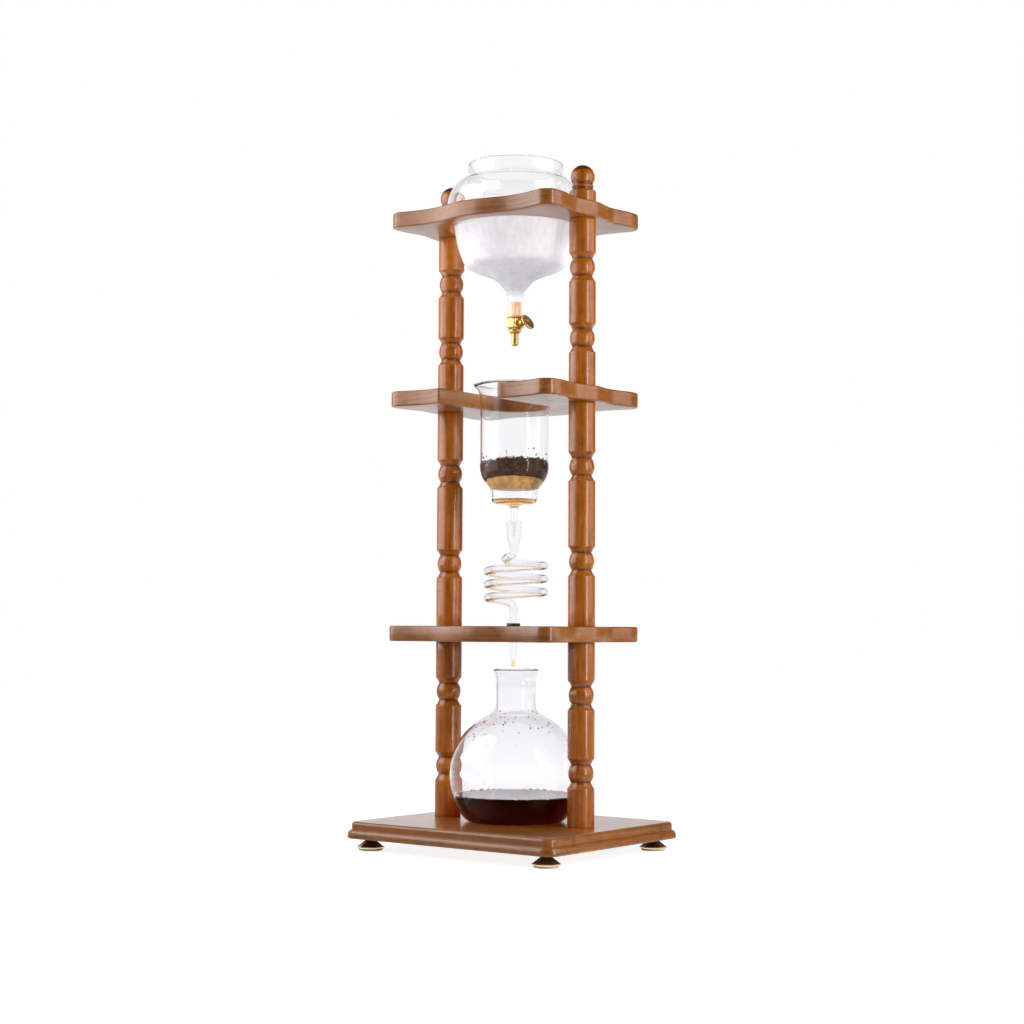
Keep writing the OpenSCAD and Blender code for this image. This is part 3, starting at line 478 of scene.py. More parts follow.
def coffeeLiquid(name, absorb, density, roughness=0.02, ior=1.33):
    # Clear brown liquid: its colour comes from the depth that light goes through
    material, paint = newPaint(name)
    place = paint.place()
    ripple = paint.noise(place, 40, 2.0, 0.4)
    oils = paint.spread(paint.noise(place, 70, 3.0, 0.5, 0.5), 0.55, 0.75)
    surface = paint.principled(colour=(1, 1, 1), clear=1.0, roughness=roughness + oils * 0.05, ior=ior,
                               normal=paint.bump(ripple, 0.0002))
    volume = paint.add("ShaderNodeVolumeAbsorption", inputs={"Color": absorb, "Density": density})
    paint.finish(paint.lettingLight(surface, 0.95), volume)
    return material


def icyWater(name):
    # Water and melting ice behind the fogged glass, milky where the ice is
    material, paint = newPaint(name)
    place = paint.place()
    ice = paint.spread(paint.noise(place, 38, 3.0, 0.55, 0.5), 0.38, 0.66)
    clear = paint.principled(colour=(1, 1, 1), clear=1.0, roughness=0.02, ior=1.006)
    milky = paint.principled(colour=(0.96, 0.965, 0.975), roughness=0.5, specular=0.1)
    water = paint.add("ShaderNodeMixShader", inputs={0: 0.03 + ice * 0.10, 1: clear, 2: milky})
    paint.finish(paint.lettingLight(water, 0.9))
    return material


def waterDrop(name):
    material, paint = newPaint(name)
    waves = paint.noise(paint.place(), 400, 2.0, 0.5)
    clear = paint.principled(colour=(1, 1, 1), clear=1.0, roughness=0.02, ior=1.33, normal=paint.bump(waves, 0.0001))
    paint.finish(paint.lettingLight(clear, 0.9))
    return material


brassGold = (0.82, 0.52, 0.16)
boardWood = stainedWood("stained board", boardStain, board=True)
shelfWood = {level: stainedWood("stained shelf " + level, boardStain, (0.31 * k, 0.17 * k, 0.05 * k), board=True)
             for k, level in enumerate(("lower", "middle", "top"), 1)}
jarGlass = clearGlass("jar glass", 40, 1.45, 0.3, haze=frostedBelowShelf)
chamberGlass = clearGlass("chamber glass", 85, 1.20, 0.5, gloss=0.9)
flaskGlass = clearGlass("flask glass", 160, 1.24, 0.5, gloss=0.8)
coilGlass = clearGlass("coil glass", 160, 1.06, 0.0, gloss=1.0)
valveBrass = polishedBrass("valve brass", brassGold, (0.66, 0.36, 0.09), 0.20, metal=0.68)
# The foot caps' lower rim gets a painted reflection of the white floor
footBronze = polishedBrass("foot bronze", (0.24, 0.155, 0.085), (0.12, 0.075, 0.038), 0.16, 500,
                           paintedLighting=(0.0042, 0.0052, (0.86, 0.70, 0.46)))
studBrass = polishedBrass("stud brass", (0.74, 0.56, 0.26), (0.46, 0.30, 0.12), 0.26)
threadSteel = bareSteel("zinc thread")
glidePlastic = softPlastic("glide plastic", (0.74, 0.66, 0.46), (0.62, 0.52, 0.34), 0.42)
blackRubber = softPlastic("black rubber", (0.012, 0.012, 0.014), (0.030, 0.030, 0.034), 0.46)
peachSilicone = softPlastic("peach silicone", (0.77, 0.46, 0.27), (0.79, 0.50, 0.31), 0.38, 60, inner=0.3)
filterFelt = wetCloth("filter felt")
groundCoffee = wetGrounds("ground coffee")
brewedCoffee = coffeeLiquid("brewed coffee", (0.68, 0.09, 0.015), 110, ior=1.24)
thinCoffee = coffeeLiquid("thin coffee", (0.94, 0.71, 0.22), 260, ior=1.06)
splashCoffee = coffeeLiquid("splashed coffee", (0.80, 0.42, 0.12), 900)
weakCoffee = coffeeLiquid("weak coffee", (0.96, 0.70, 0.28), 62, ior=1.20)
meltWater = icyWater("iced water")
dropWater = waterDrop("water drops")
print("materials made")


# ---- levels, from the frame ----

baseTop = topOf("base_board")
footTop = bottomOf("base_board")
lowerTop, middleTop, upperTop = topOf("shelf_lower"), topOf("shelf_middle"), topOf("shelf_top")
postX = (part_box("finial_right")[0].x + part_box("finial_right")[1].x) / 2 / mm


# ---- stand ----

board = {"halfWidth": 150, "halfDepth": 129, "corner": 17, "bead": 9.5, "stepIn": 5, "roundTop": 4,
         "nose": 1.2, "gapStep": 0.6}


def baseBoard():
    # A rounded rectangle carried up the moulding: each level draws it in by the moulding's depth
    thick = baseTop - footTop
    nose, bead, step, top = board["nose"], board["bead"], board["stepIn"], board["roundTop"]
    turn = np.radians(np.linspace(0, 90, 13))
    lower = np.stack([(step - 1) * (1 - np.cos(turn)), nose + (bead - nose) * np.sin(turn)], 1)
    upper = np.stack([step + top * (1 - np.cos(turn)), thick - top + top * np.sin(turn)], 1)
    edge = chain([[nose, 0], [nose * 0.3, nose * 0.3]], lower,
                 [[step - 0.5, bead + 0.1], [step - 0.08, bead + 0.35], [step, bead + board["gapStep"] + 0.4]], upper)
    corner = board["corner"]
    a = np.radians(np.arange(0, 360, 6.0) + 3.0)
    a = np.sort(np.concatenate([a, np.radians([0, 90, 180, 270]) + 1e-4, np.radians([90, 180, 270, 360]) - 1e-4]))
    cx = np.sign(np.cos(a)) * (board["halfWidth"] - corner)
    cy = np.sign(np.sin(a)) * (board["halfDepth"] - corner)
    drawn = corner - edge[:, :1]
    points = np.stack([cx + drawn * np.cos(a), cy + drawn * np.sin(a), footTop + edge[:, 1:] + 0 * a], -1)
    addPiece("base_board_moulded", (points, gridQuads(len(edge), len(a))), boardWood, "stand",
             ["base_board"], ends=True, crease=28)


turning = {"post": 15.5, "bead": 14.5, "neck": 11.3, "neckOut": 9.8, "plainOut": 17.2, "shoulder": 0.9}


def halfBead():
    # The bead is an arc, and the plain length tapers down to its neck in a shallow hollow
    sag = turning["bead"] - turning["neck"]
    crown = (turning["neckOut"] ** 2 + sag ** 2) / (2 * sag)
    reach = degrees(asin(turning["neckOut"] / crown)) * 0.97
    post, neck, out, plain = turning["post"], turning["neck"], turning["neckOut"], turning["plainOut"]
    return chain(arc((turning["bead"] - crown, 0), crown, 0, reach, 12),
                 [[neck + 0.04, out - 0.12], [neck, out + 0.1], [neck + 0.06, out + 0.4]],
                 curve([[neck + 0.5, out + 1.1], [neck + 1.7, out + 3.6], [post - 1.0, plain - 1.5]], 5),
                 [[post - 0.62, plain - 1.15], [post - 0.22, plain - 0.7], [post - 0.04, plain - 0.25], [post, plain + 0.3]])


def grooveShade(profile):
    # Painted shade: the colour darkens where the turning is deepest, in the grooves by the beads
    r = profile[:, 0]
    deep = np.clip((turning["neck"] + 1.6 - r) / 1.6, 0, 1)
    return np.where(r > 5, deep ** 1.4 * 0.80, 0)


def mirroredAt(half, z):
    return chain(half[::-1] * [1, -1] + [0, z], half[1:] + [0, z])


beadIn = {"lower": 60, "middle": 74, "upper": 56}


def spindle(level, side, sign, number):
    node = level + "_spindle_" + side
    bottom, top = bottomOf(node), topOf(node)
    post = turning["post"]
    half = halfBead()
    plain = np.linspace(0, 1, 5)[1:-1, None]

    def straight(low, high):
        return np.hstack([np.full((3, 1), post), low + (high - low) * plain])
    inFrom, length, out = beadIn[level], top - bottom, turning["plainOut"] + 0.3
    profile = chain([[0, 0], [post - 0.8, 0], [post - 0.2, 0.25], [post, 0.8]], straight(0.8, inFrom - out),
                    mirroredAt(half, inFrom), straight(inFrom + out, length - inFrom - out),
                    mirroredAt(half, length - inFrom), straight(length - inFrom + out, length - 0.8),
                    [[post, length - 0.8], [post - 0.2, length - 0.25], [post - 0.8, length], [0, length]])
    shade = np.repeat(grooveShade(profile)[:, None], 96, 1)
    wood = stainedWood("stained " + node.replace("_", " "), postStain, (0.173 * number, 0.291 * number, 0.417 * number))
    addPiece(node + "_turned", lathe(profile + [0, bottom], 96, (sign * postX, 0)), wood, "stand",
             [node], crease=50, values=shade)


finial = {"ball": 14.0, "middle": 31.0, "collar": 15.5, "neck": 11.5, "ring": 12.7}


def finialTop(side, sign, number):
    node = "finial_" + side
    post, ball, middle, neck = turning["post"], finial["ball"], finial["middle"], finial["neck"]
    collar = finial["collar"]
    start = -degrees(asin((1 - ((neck + 0.15) / ball) ** 2) ** 0.5))
    ballFoot = middle + ball * sin(radians(start))
    profile = chain([[0, 0], [post - 0.8, 0], [post - 0.2, 0.25], [post, 0.8], [post, 5]],
                    arc((post - 3, collar - 3), 3, 0, 84, 8), [[neck + 0.5, collar + 0.5], [neck, collar + 0.9]],
                    [[neck + 0.3, collar + 1.4]],
                    arc((finial["ring"] - 2.2, (collar + ballFoot) / 2 + 0.5), 2.2, -60, 60, 8),
                    [[neck + 0.1, ballFoot - 0.4], [neck + 0.1, ballFoot - 0.1]],
                    arc((0, middle), ball, start, 89.5, 28), [[0, middle + ball]])
    shade = np.repeat(np.clip(grooveShade(profile) * 1.3, 0, 0.8)[:, None], 96, 1)
    wood = stainedWood("stained " + node.replace("_", " "), postStain, (0.53 * number, 0.19 * number, 0.31 * number))
    addPiece(node + "_turned", lathe(profile + [0, upperTop], 96, (sign * postX, 0)), wood, "stand",
             [node], crease=50, values=shade)


shelf = {"thick": 18, "halfWidth": 116.5, "halfDepth": 91.5, "corner": 13, "longWave": 10, "endWave": 5,
         "longPitch": 128, "endPitch": 72, "edge": 2.2, "jarHole": 77, "tubeHole": 6.55, "slot": 41.5, "mouth": 3}


def shelfOutline():
    # The long sides and the ends swell and fall as cosines, and each corner's radius runs from one to the other
    cx, cy = shelf["halfWidth"] - shelf["corner"], shelf["halfDepth"] - shelf["corner"]
    frontSwell = shelf["longWave"] / 2 * cos(2 * pi * cx / shelf["longPitch"])
    endSwell = shelf["endWave"] / 2 * cos(2 * pi * cy / shelf["endPitch"])
    x = np.linspace(0, cx, 29)[:-1]
    front = np.stack([x, -shelf["halfDepth"] - shelf["longWave"] / 2 * np.cos(2 * pi * x / shelf["longPitch"])], 1)
    share = np.linspace(0, 1, 15)
    a, r = np.radians(-90 + 90 * share), shelf["corner"] + frontSwell + (endSwell - frontSwell) * share
    corner = np.stack([cx + r * np.cos(a), -cy + r * np.sin(a)], 1)
    y = -cy * (1 - np.linspace(0, 1, 19)[1:])
    end = np.stack([shelf["halfWidth"] + shelf["endWave"] / 2 * np.cos(2 * pi * y / shelf["endPitch"]), y], 1)
    quarter = chain(front, corner, end)
    return chain(quarter, quarter[-2::-1] * [1, -1], quarter[1:] * [-1, -1], quarter[-2:0:-1] * [-1, 1])


def slottedOutline():
    # The outline runs in at the front through rounded mouths and round the slot's half circle
    slot, mouth = shelf["slot"], shelf["mouth"]
    outer = shelfOutline()
    middle = len(outer) // 2
    x = slot + mouth
    mouthY = shelf["halfDepth"] + shelf["longWave"] / 2 * cos(2 * pi * x / shelf["longPitch"])
    kept = outer[~((outer[:, 1] < 0) & (np.abs(outer[:, 0]) < x + 0.5))]
    start = np.argmax((kept[:, 0] > 0) & (kept[:, 1] < 0) & (kept[:, 0] == kept[(kept[:, 0] > 0) & (kept[:, 1] < 0), 0].min()))
    kept = np.roll(kept, -start, axis=0)
    leftMouth = arc((-x, mouth - mouthY), mouth, -90, 0, 8)
    rightMouth = arc((x, mouth - mouthY), mouth, 180, 270, 8)
    wall = np.linspace(mouth - mouthY, 0, 8)[1:-1, None]
    return chain(kept, leftMouth, np.hstack([np.full_like(wall, -slot), wall]), arc((0, 0), slot, 180, 0, 48),
                 np.hstack([np.full_like(wall, slot), wall[::-1]]), rightMouth)


def drawnIn(outline, depth):
    # Each point of a closed outline that runs round to the left moves inwards, square to the outline
    way = np.roll(outline, -1, 0) - np.roll(outline, 1, 0)
    way /= np.linalg.norm(way, axis=1)[:, None]
    return outline + np.stack([-way[:, 1], way[:, 0]], 1) * depth


def edgeProfile():
    # A shelf's edge from its underside to its top: both arrises are rounded over
    e, t = shelf["edge"], shelf["thick"]
    turn = np.radians(np.linspace(0, 90, 7))
    low = np.stack([e * (1 - np.sin(turn)), e * (1 - np.cos(turn))], 1)
    return chain(low, [[0, t / 2]], (low * [1, -1] + [0, t])[::-1])


def shelfWithHole(level, node, holeR):
    edge = edgeProfile()
    outline = shelfOutline()
    bottom = bottomOf(node)
    angle = np.arctan2(outline[:, 1], outline[:, 0])
    outer = np.stack([np.hstack([drawnIn(outline, d), np.full((len(outline), 1), bottom + z)]) for d, z in edge])
    softer = np.minimum(edge[::-1] * [0.5, 1], 99)
    inner = np.stack([np.stack([(holeR + d) * np.cos(angle), (holeR + d) * np.sin(angle), 0 * angle + bottom + z], 1)
                      for d, z in softer])
    points = np.concatenate([outer, inner])
    addPiece(node + "_board", (points, gridQuads(len(points), len(outline), closeRows=True)), shelfWood[level],
             "stand", [node], crease=40)


def slottedShelf():
    edge = edgeProfile()
    outline = slottedOutline()
    bottom = bottomOf("shelf_middle")
    points = np.stack([np.hstack([drawnIn(outline, d), np.full((len(outline), 1), bottom + z)]) for d, z in edge])
    addPiece("shelf_middle_board", (points, gridQuads(len(points), len(outline))), shelfWood["middle"],
             "stand", ["shelf_middle"], ends=True, crease=40)


foot = {"across": 33, "topAcross": 13.5, "rim": 1.6, "cap": 9, "pad": 2.5, "padR": 14, "stud": 3, "pitch": 1.0}


def hexRadius(a, corner, soft):
    # Distance to a hexagon's side at angle a, with its corners rounded off
    side = corner * cos(pi / 6)
    inside = (a + pi / 6) % (pi / 3) - pi / 6
    return np.minimum(side / np.cos(inside), corner - soft)


def levellingFoot(number):
    low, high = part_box(f"foot_cap_{number}")
    cx, cy = (low.x + high.x) / 2 / mm, (low.y + high.y) / 2 / mm
    bottom = low.z / mm
    a = np.arange(192) * 2 * pi / 192
    big, small = foot["across"] / 2, foot["topAcross"] / 2
    rows = []
    for corner, z, soft in ((0.001, 0, 0), (big - 1.2, 0, 0.3), (big - 0.25, 0.12, 0.3), (big, 0.45, 0.35),
                            (big, foot["rim"] - 0.3, 0.35), (big - 0.3, foot["rim"], 0.35), (big - 1.0, foot["rim"] + 0.5, 0.4),
                            (small + 0.5, foot["cap"] - 0.5, 0.5), (small, foot["cap"] - 0.15, 0.5),
                            (small - 0.5, foot["cap"], 0.5), (0.001, foot["cap"], 0)):
        r = hexRadius(a, corner, soft) if corner > 1 else np.zeros_like(a)
        rows.append(np.stack([cx + r * np.cos(a), cy + r * np.sin(a), bottom + z + 0 * a], 1))
    points = np.stack(rows)
    addPiece(f"foot_cap_{number}_turned", (points, gridQuads(len(rows), 192)), footBronze, f"foot_{number}",
             [f"foot_cap_{number}"], crease=24)
    padR, pad = foot["padR"], foot["pad"]
    profile = chain([[0, 0], [padR - 1.6, 0]], arc((padR - 0.8, 0.8), 0.8, -90, 0, 6), [[padR, pad - 0.3], [padR - 0.3, pad], [0, pad]])
    addPiece(f"foot_pad_{number}_moulded", lathe(profile, 96, (cx, cy)), glidePlastic, f"foot_{number}",
             [f"foot_pad_{number}"])
    # The thread's crest climbs one pitch a turn
    bottom, top = bottomOf(f"foot_stud_{number}"), topOf(f"foot_stud_{number}")
    z = np.linspace(bottom, top, 140)[:, None]
    b = np.arange(32) * 2 * pi / 32
    ridge = np.abs(((z / foot["pitch"] - b / (2 * pi)) % 1) - 0.5) * 2
    fade = np.clip(np.minimum(z - bottom, top - z) / 0.6, 0, 1)
    r = foot["stud"] - 0.55 * ridge * fade - 0.02
    points = np.stack([cx + r * np.cos(b), cy + r * np.sin(b), z + 0 * b], -1)
    addPiece(f"foot_stud_{number}_threaded", (points, gridQuads(140, 32)), studBrass, f"foot_{number}",
             [f"foot_stud_{number}"], ends=True, crease=60)


def grommetRing():
    low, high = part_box("grommet")
    bottom, top = low.z / mm, high.z / mm
    flangeR, sleeveR, bore = (high.x - low.x) / 2 / mm, 6.5, 4.8
    flange = 3.5
    profile = chain([[bore, bottom], [sleeveR - 0.3, bottom], [sleeveR, bottom + 0.3], [sleeveR, top - flange]],
                    arc((flangeR - 1.0, top - flange + 1.0), 1.0, -90, 0, 6), arc((flangeR - 1.0, top - 1.0), 1.0, 0, 90, 6),
                    [[bore + 0.5, top], [bore, top - 0.4]])
    addPiece("grommet_moulded", lathe(profile, 96, closed=True), blackRubber, "stand", ["grommet"])


baseBoard()
for number, (level, side, sign) in enumerate([(level, side, sign) for level in beadIn
                                              for side, sign in (("left", -1), ("right", 1))], 1):
    spindle(level, side, sign, number)
finialTop("left", -1, 7)
finialTop("right", 1, 8)
shelfWithHole("lower", "shelf_lower", shelf["tubeHole"])
shelfWithHole("top", "shelf_top", shelf["jarHole"])
slottedShelf()
for number in (1, 2, 3, 4):
    levellingFoot(number)
grommetRing()
for node, material in (("tie_studs", threadSteel), ("base_bolts", threadSteel), ("foot_inserts", studBrass)):
    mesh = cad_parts[node].data
    mesh.materials.clear()
    mesh.materials.append(material)
print("stand made")


# ---- water jar and drip valve ----

jar = {"neckR": 57, "rim": 58, "neck": 43, "wall": 3, "tubeWall": 1.8, "tube": 9.4, "end": -122, "waterLevel": -16}


def jarOutside():
    rimR = jar["wall"] / 2
    return chain([[jar["neckR"], jar["rim"] - rimR], [jar["neckR"], jar["neck"] + 6], [jar["neckR"], jar["neck"]]],
                 curve([[57.6, 41.6], [60, 39.6], [68.0, 36.0], [76, 26.5], [80.2, 15.0], [80.4, 6.0], [76.6, 0],
                        [72.3, -18], [68.6, -37.2], [64.2, -51.0], [58.7, -62.0], [49.8, -67.0], [35.4, -72.5],
                        [21.9, -79.5], [12.4, -91.1], [9.6, -101], [jar["tube"], -116], [jar["tube"], jar["end"]]]))


def waterJar():
    outside = jarOutside()
    lining = inset(outside, jar["wall"], jar["tubeWall"])
    loop = chain(outside, roundEnd(outside[-1], lining[-1])[:, :] * [1, 0] + [0, jar["end"]], lining[::-1],
                 roundEnd(lining[0], outside[0]))
    addPiece("water_jar_blown", lathe(loop + [0, upperTop], 160, closed=True), jarGlass, "jar",
             ["water_jar"], crease=180)
    # The water fills the jar from the stopper up to its level, and its skin climbs the glass a little
    level, foot = jar["waterLevel"], topOf("jar_stopper") - upperTop + 0.3
    wet = lining + [0.02, 0]
    wet = wet[(wet[:, 1] < level + 1.2) & (wet[:, 1] > foot)]
    body = chain([[0, level], [wet[0, 0] - 4, level], [wet[0, 0] - 1.4, level + 0.3]], wet, [[wet[-1, 0] - 0.1, foot], [0, foot]])
    addPiece("iced_water_body", lathe(body + [0, upperTop], 128), meltWater, "jar", ["iced_water"], crease=60)


def jarStopper():
    low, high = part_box("jar_stopper")
    bottom, top = low.z / mm, high.z / mm
    flangeR, plugR, bore, flange = (high.x - low.x) / 2 / mm, 7.5, 3.5, 2.0
    profile = chain([[bore, bottom], [flangeR - 0.5, bottom], [flangeR - 0.1, bottom + 0.2], [flangeR, bottom + 0.6],
                     [flangeR, bottom + flange - 0.4], [flangeR - 0.3, bottom + flange - 0.05]],
                    [[plugR, bottom + flange], [plugR, bottom + flange + 2], [plugR - 0.25, top - 1.0], [plugR - 0.9, top - 0.2],
                     [plugR - 1.4, top], [bore, top]])
    addPiece("jar_stopper_moulded", lathe(profile, 96, closed=True), peachSilicone, "jar", ["jar_stopper"])


valve = {"hex": 11.2, "hexHeight": 11.5, "ring": 7.0, "ringHeight": 6.5, "nozzle": 4.2, "nozzleLength": 14.5,
         "shank": 3.5, "socket": 4.1, "hexTurn": 0}


def dripValve():
    low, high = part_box("drip_valve")
    tip = low.z / mm
    ringZ = tip + valve["nozzleLength"]
    hexZ = ringZ + valve["ringHeight"]
    hexTop = hexZ + valve["hexHeight"]
    a = np.arange(240) * 2 * pi / 240
    corner = valve["hex"]
    # Each level is the hexagon, cut by a cone that rounds its corners over at top and bottom
    rows = []
    for z, cone in ((0, corner - 2.2), (0.35, corner - 1.2), (0.9, corner - 0.5), (1.4, corner),
                    (valve["hexHeight"] - 2.4, corner), (valve["hexHeight"] - 1.6, corner - 0.7),
                    (valve["hexHeight"] - 0.7, corner - 1.8), (valve["hexHeight"] - 0.15, corner - 2.9), (valve["hexHeight"], corner - 3.6)):
        r = np.minimum(hexRadius(a, corner, 0.25), cone)
        rows.append(np.stack([r * np.cos(a), r * np.sin(a), hexZ + z + 0 * a], 1))
    ringR, nozzleR = valve["ring"], valve["nozzle"]
    below = chain([[0.9, tip], [nozzleR - 2.6, tip + 0.05]], arc((nozzleR - 2.4, tip + 2.4), 2.4, -80, 0, 8),
                  [[nozzleR, ringZ - 3.4], [nozzleR - 0.25, ringZ - 3.0], [nozzleR - 0.25, ringZ - 2.4], [nozzleR, ringZ - 2.0],
                   [nozzleR, ringZ - 0.5], [nozzleR + 0.7, ringZ]],
                  [[ringR - 0.5, ringZ + 1.2]], arc((ringR - 0.9, ringZ + 2.2), 0.9, -50, 0, 4),
                  [[ringR, hexZ - 2.4], [ringR + 0.3, hexZ - 1.9], [corner - 2.6, hexZ - 0.3]])
    above = chain([[corner - 3.8, hexTop], [valve["shank"] + 1.2, hexTop], [valve["shank"], hexTop + 0.3],
                   [valve["shank"], topOf("drip_valve") - 0.4], [valve["shank"] - 0.4, topOf("drip_valve")], [0.9, topOf("drip_valve")]])
    points = np.concatenate([lathe(below, 240)[0], np.stack(rows), lathe(above, 240)[0]])
    body = (points, gridQuads(len(points), 240, closeRows=True))
    keyZ = hexZ + valve["hexHeight"] / 2
    boss = chain([[2.62, -1.5], [valve["socket"] + 0.4, -1.5], [valve["socket"] + 0.4, 1.7], [valve["socket"], 2.2],
                  [valve["socket"] - 0.5, 2.7], [2.62, 2.7]])
    bossPoints, bossQuads = lathe(boss, 64, closed=True)
    bossPoints = bossPoints[..., [2, 1, 0]] * [1, 1, -1] + [corner * cos(pi / 6), 0, keyZ]
    turn = np.array(Matrix.Rotation(radians(30), 3, "Z"))
    addPiece("drip_valve_turned", joined((points @ turn.T, body[1]), (bossPoints, bossQuads)), valveBrass,
             "jar", ["drip_valve"], crease=24)


key = {"plate": 10, "thick": 2.6, "out": 18.5, "lean": 30, "rod": 2.5, "boss": 4.0}


def valveKey():
    low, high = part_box("drip_valve")
    keyZ = low.z / mm + valve["nozzleLength"] + valve["ringHeight"] + valve["hexHeight"] / 2
    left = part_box("valve_key")[0].x / mm
    end = key["out"] - 0.6
    rod = chain([[0, left], [key["rod"] - 0.3, left], [key["rod"], left + 0.3], [key["rod"], end - 4.0],
                 [key["rod"] + 0.8, end - 3.2], [key["boss"], end - 1.8], [key["boss"], end + 0.3], [key["boss"] - 0.8, end + 0.9], [0, end + 1.0]])
    rodPoints, rodQuads = lathe(rod, 64)
    rodPoints = rodPoints[..., [2, 1, 0]] * [1, 1, -1] + [0, 0, keyZ]
    # The thumb plate is a thick disc, hollowed a little on both faces and rounded round its rim
    r, t = key["plate"], key["thick"] / 2
    disc = chain([[0, -t + 0.35], [r - 3.5, -t + 0.30], [r - 2.2, -t]], arc((r - t, 0), t, -90, 90, 12),
                 [[r - 2.2, t], [r - 3.5, t - 0.30], [0, t - 0.35]])
    discPoints, discQuads = lathe(disc, 96)
    discPoints = turned(discPoints.reshape(-1, 3), "Y", 90 - key["lean"], (0, 0, 0)) + [key["out"], 0, keyZ]
    addPiece("valve_key_cast", joined((rodPoints, rodQuads), (discPoints, discQuads)), valveBrass, "key",
             ["valve_key"], crease=35)


waterJar()
jarStopper()
dripValve()
valveKey()
print("jar and valve made")


# ---- brew chamber ----

chamber = {"wall": 2.0, "stemWall": 1.2, "lipTurn": 217, "lipReach": 4.3, "lipWidth": 17, "bedLow": -105, "bedHigh": -82,
           "dome": 5, "filterLow": -114, "front": -53, "rise": 4.5}


def chamberOutside():
    return chain([[45 - 0.6, 9.0]], curve([[43.9, 7.4], [42.2, 4], [41.2, 0], [40.7, -7], [40.5, -14], [40.5, -24], [40.5, -80], [40.5, -88],
                                   [40.0, -92.5], [38.9, -97], [36.3, -102.8], [32.2, -108.4], [28.6, -113.2],
                                   [27.1, -118], [26.9, -126],
                                   [23.75, -130.8], [17.2, -131.7], [10.5, -132], [5.5, -135], [4.5, -138.9],
                                   [4.5, -149.9], [3.2, -157], [2.8, -168.5]]))


def brewChamber():
    outside = chamberOutside()
    lining = inset(outside, chamber["wall"], chamber["stemWall"])
    loop = chain(outside, lining[::-1], roundEnd(lining[0], outside[0]))
    points, quads = lathe(loop, 192, closed=True)
    # The lip is drawn out of the rim: near its direction the wall leans outwards, more and more towards the rim
    a = np.arctan2(points[..., 1], points[..., 0])
    off = (a - radians(chamber["lipTurn"]) + pi) % (2 * pi) - pi
    high = np.clip((points[..., 2] + 6) / 16, 0, 1) ** 1.6
    out = chamber["lipReach"] * np.exp(-(off * 42 / (chamber["lipWidth"] / 2)) ** 2) * high
    points[..., 0] += out * np.cos(a)
    points[..., 1] += out * np.sin(a)
    points[..., 2] -= 0.12 * out
    addPiece("brew_chamber_blown", (points + [0, 0, middleTop], quads), chamberGlass, "chamber",
             ["brew_chamber"], crease=180)


def rough(points, size, seed):
    # Lumps: waves of several lengths in many directions, added up, from -1 to 1 or so
    random = np.random.default_rng(seed)
    total = np.zeros(points.shape[:-1])
    for octave in range(4):
        for _ in range(5):
            way = random.normal(size=3)
            way *= 2 ** octave * 2 * pi / size / np.linalg.norm(way)
            total += np.sin(points @ way + random.uniform(0, 2 * pi)) / 1.7 ** octave
    return total / 5


def liningRadius(level, gap):
    wall = inset(chamberOutside(), chamber["wall"] + gap, chamber["stemWall"] + gap)
    order = np.argsort(wall[:, 1])
    return np.interp(level, wall[order, 1], wall[order, 0])


def raisedInFront(points, level, still):
    # The filter rides up in front: points at the level rise, by a wavy share of its rise, and those
    # past the still height stay. Each keeps its share of the way out to the glass.
    a = np.arctan2(points[..., 1], points[..., 0])
    facing = np.clip(np.cos(a - radians(chamber["front"])), 0, 1)
    rise = chamber["rise"] * facing + 0.5 * rough(points * [1, 1, 0], 24, 12) * (facing > 0)
    share = np.clip((points[..., 2] - still) / (level - still), 0, 1)
    out = np.hypot(points[..., 0], points[..., 1]) / liningRadius(points[..., 2], 0)
    raised = points[..., 2] + rise * share * np.clip(out, 0, 1)
    widened = liningRadius(raised, 0) / liningRadius(points[..., 2], 0)
    return np.stack([points[..., 0] * widened, points[..., 1] * widened, raised], -1)


def lean(x, y):
    # How far the bed's rim lies lower at its two ends as seen from the front: 4 mm and 2.5 mm
    turn = radians(chamber["front"] + 90)
    aside = x * cos(turn) + y * sin(turn)
    return 4.0 * np.clip(-(aside + 6) / 32, 0, 1) + 2.5 * np.clip((aside - 27) / 11, 0, 1)


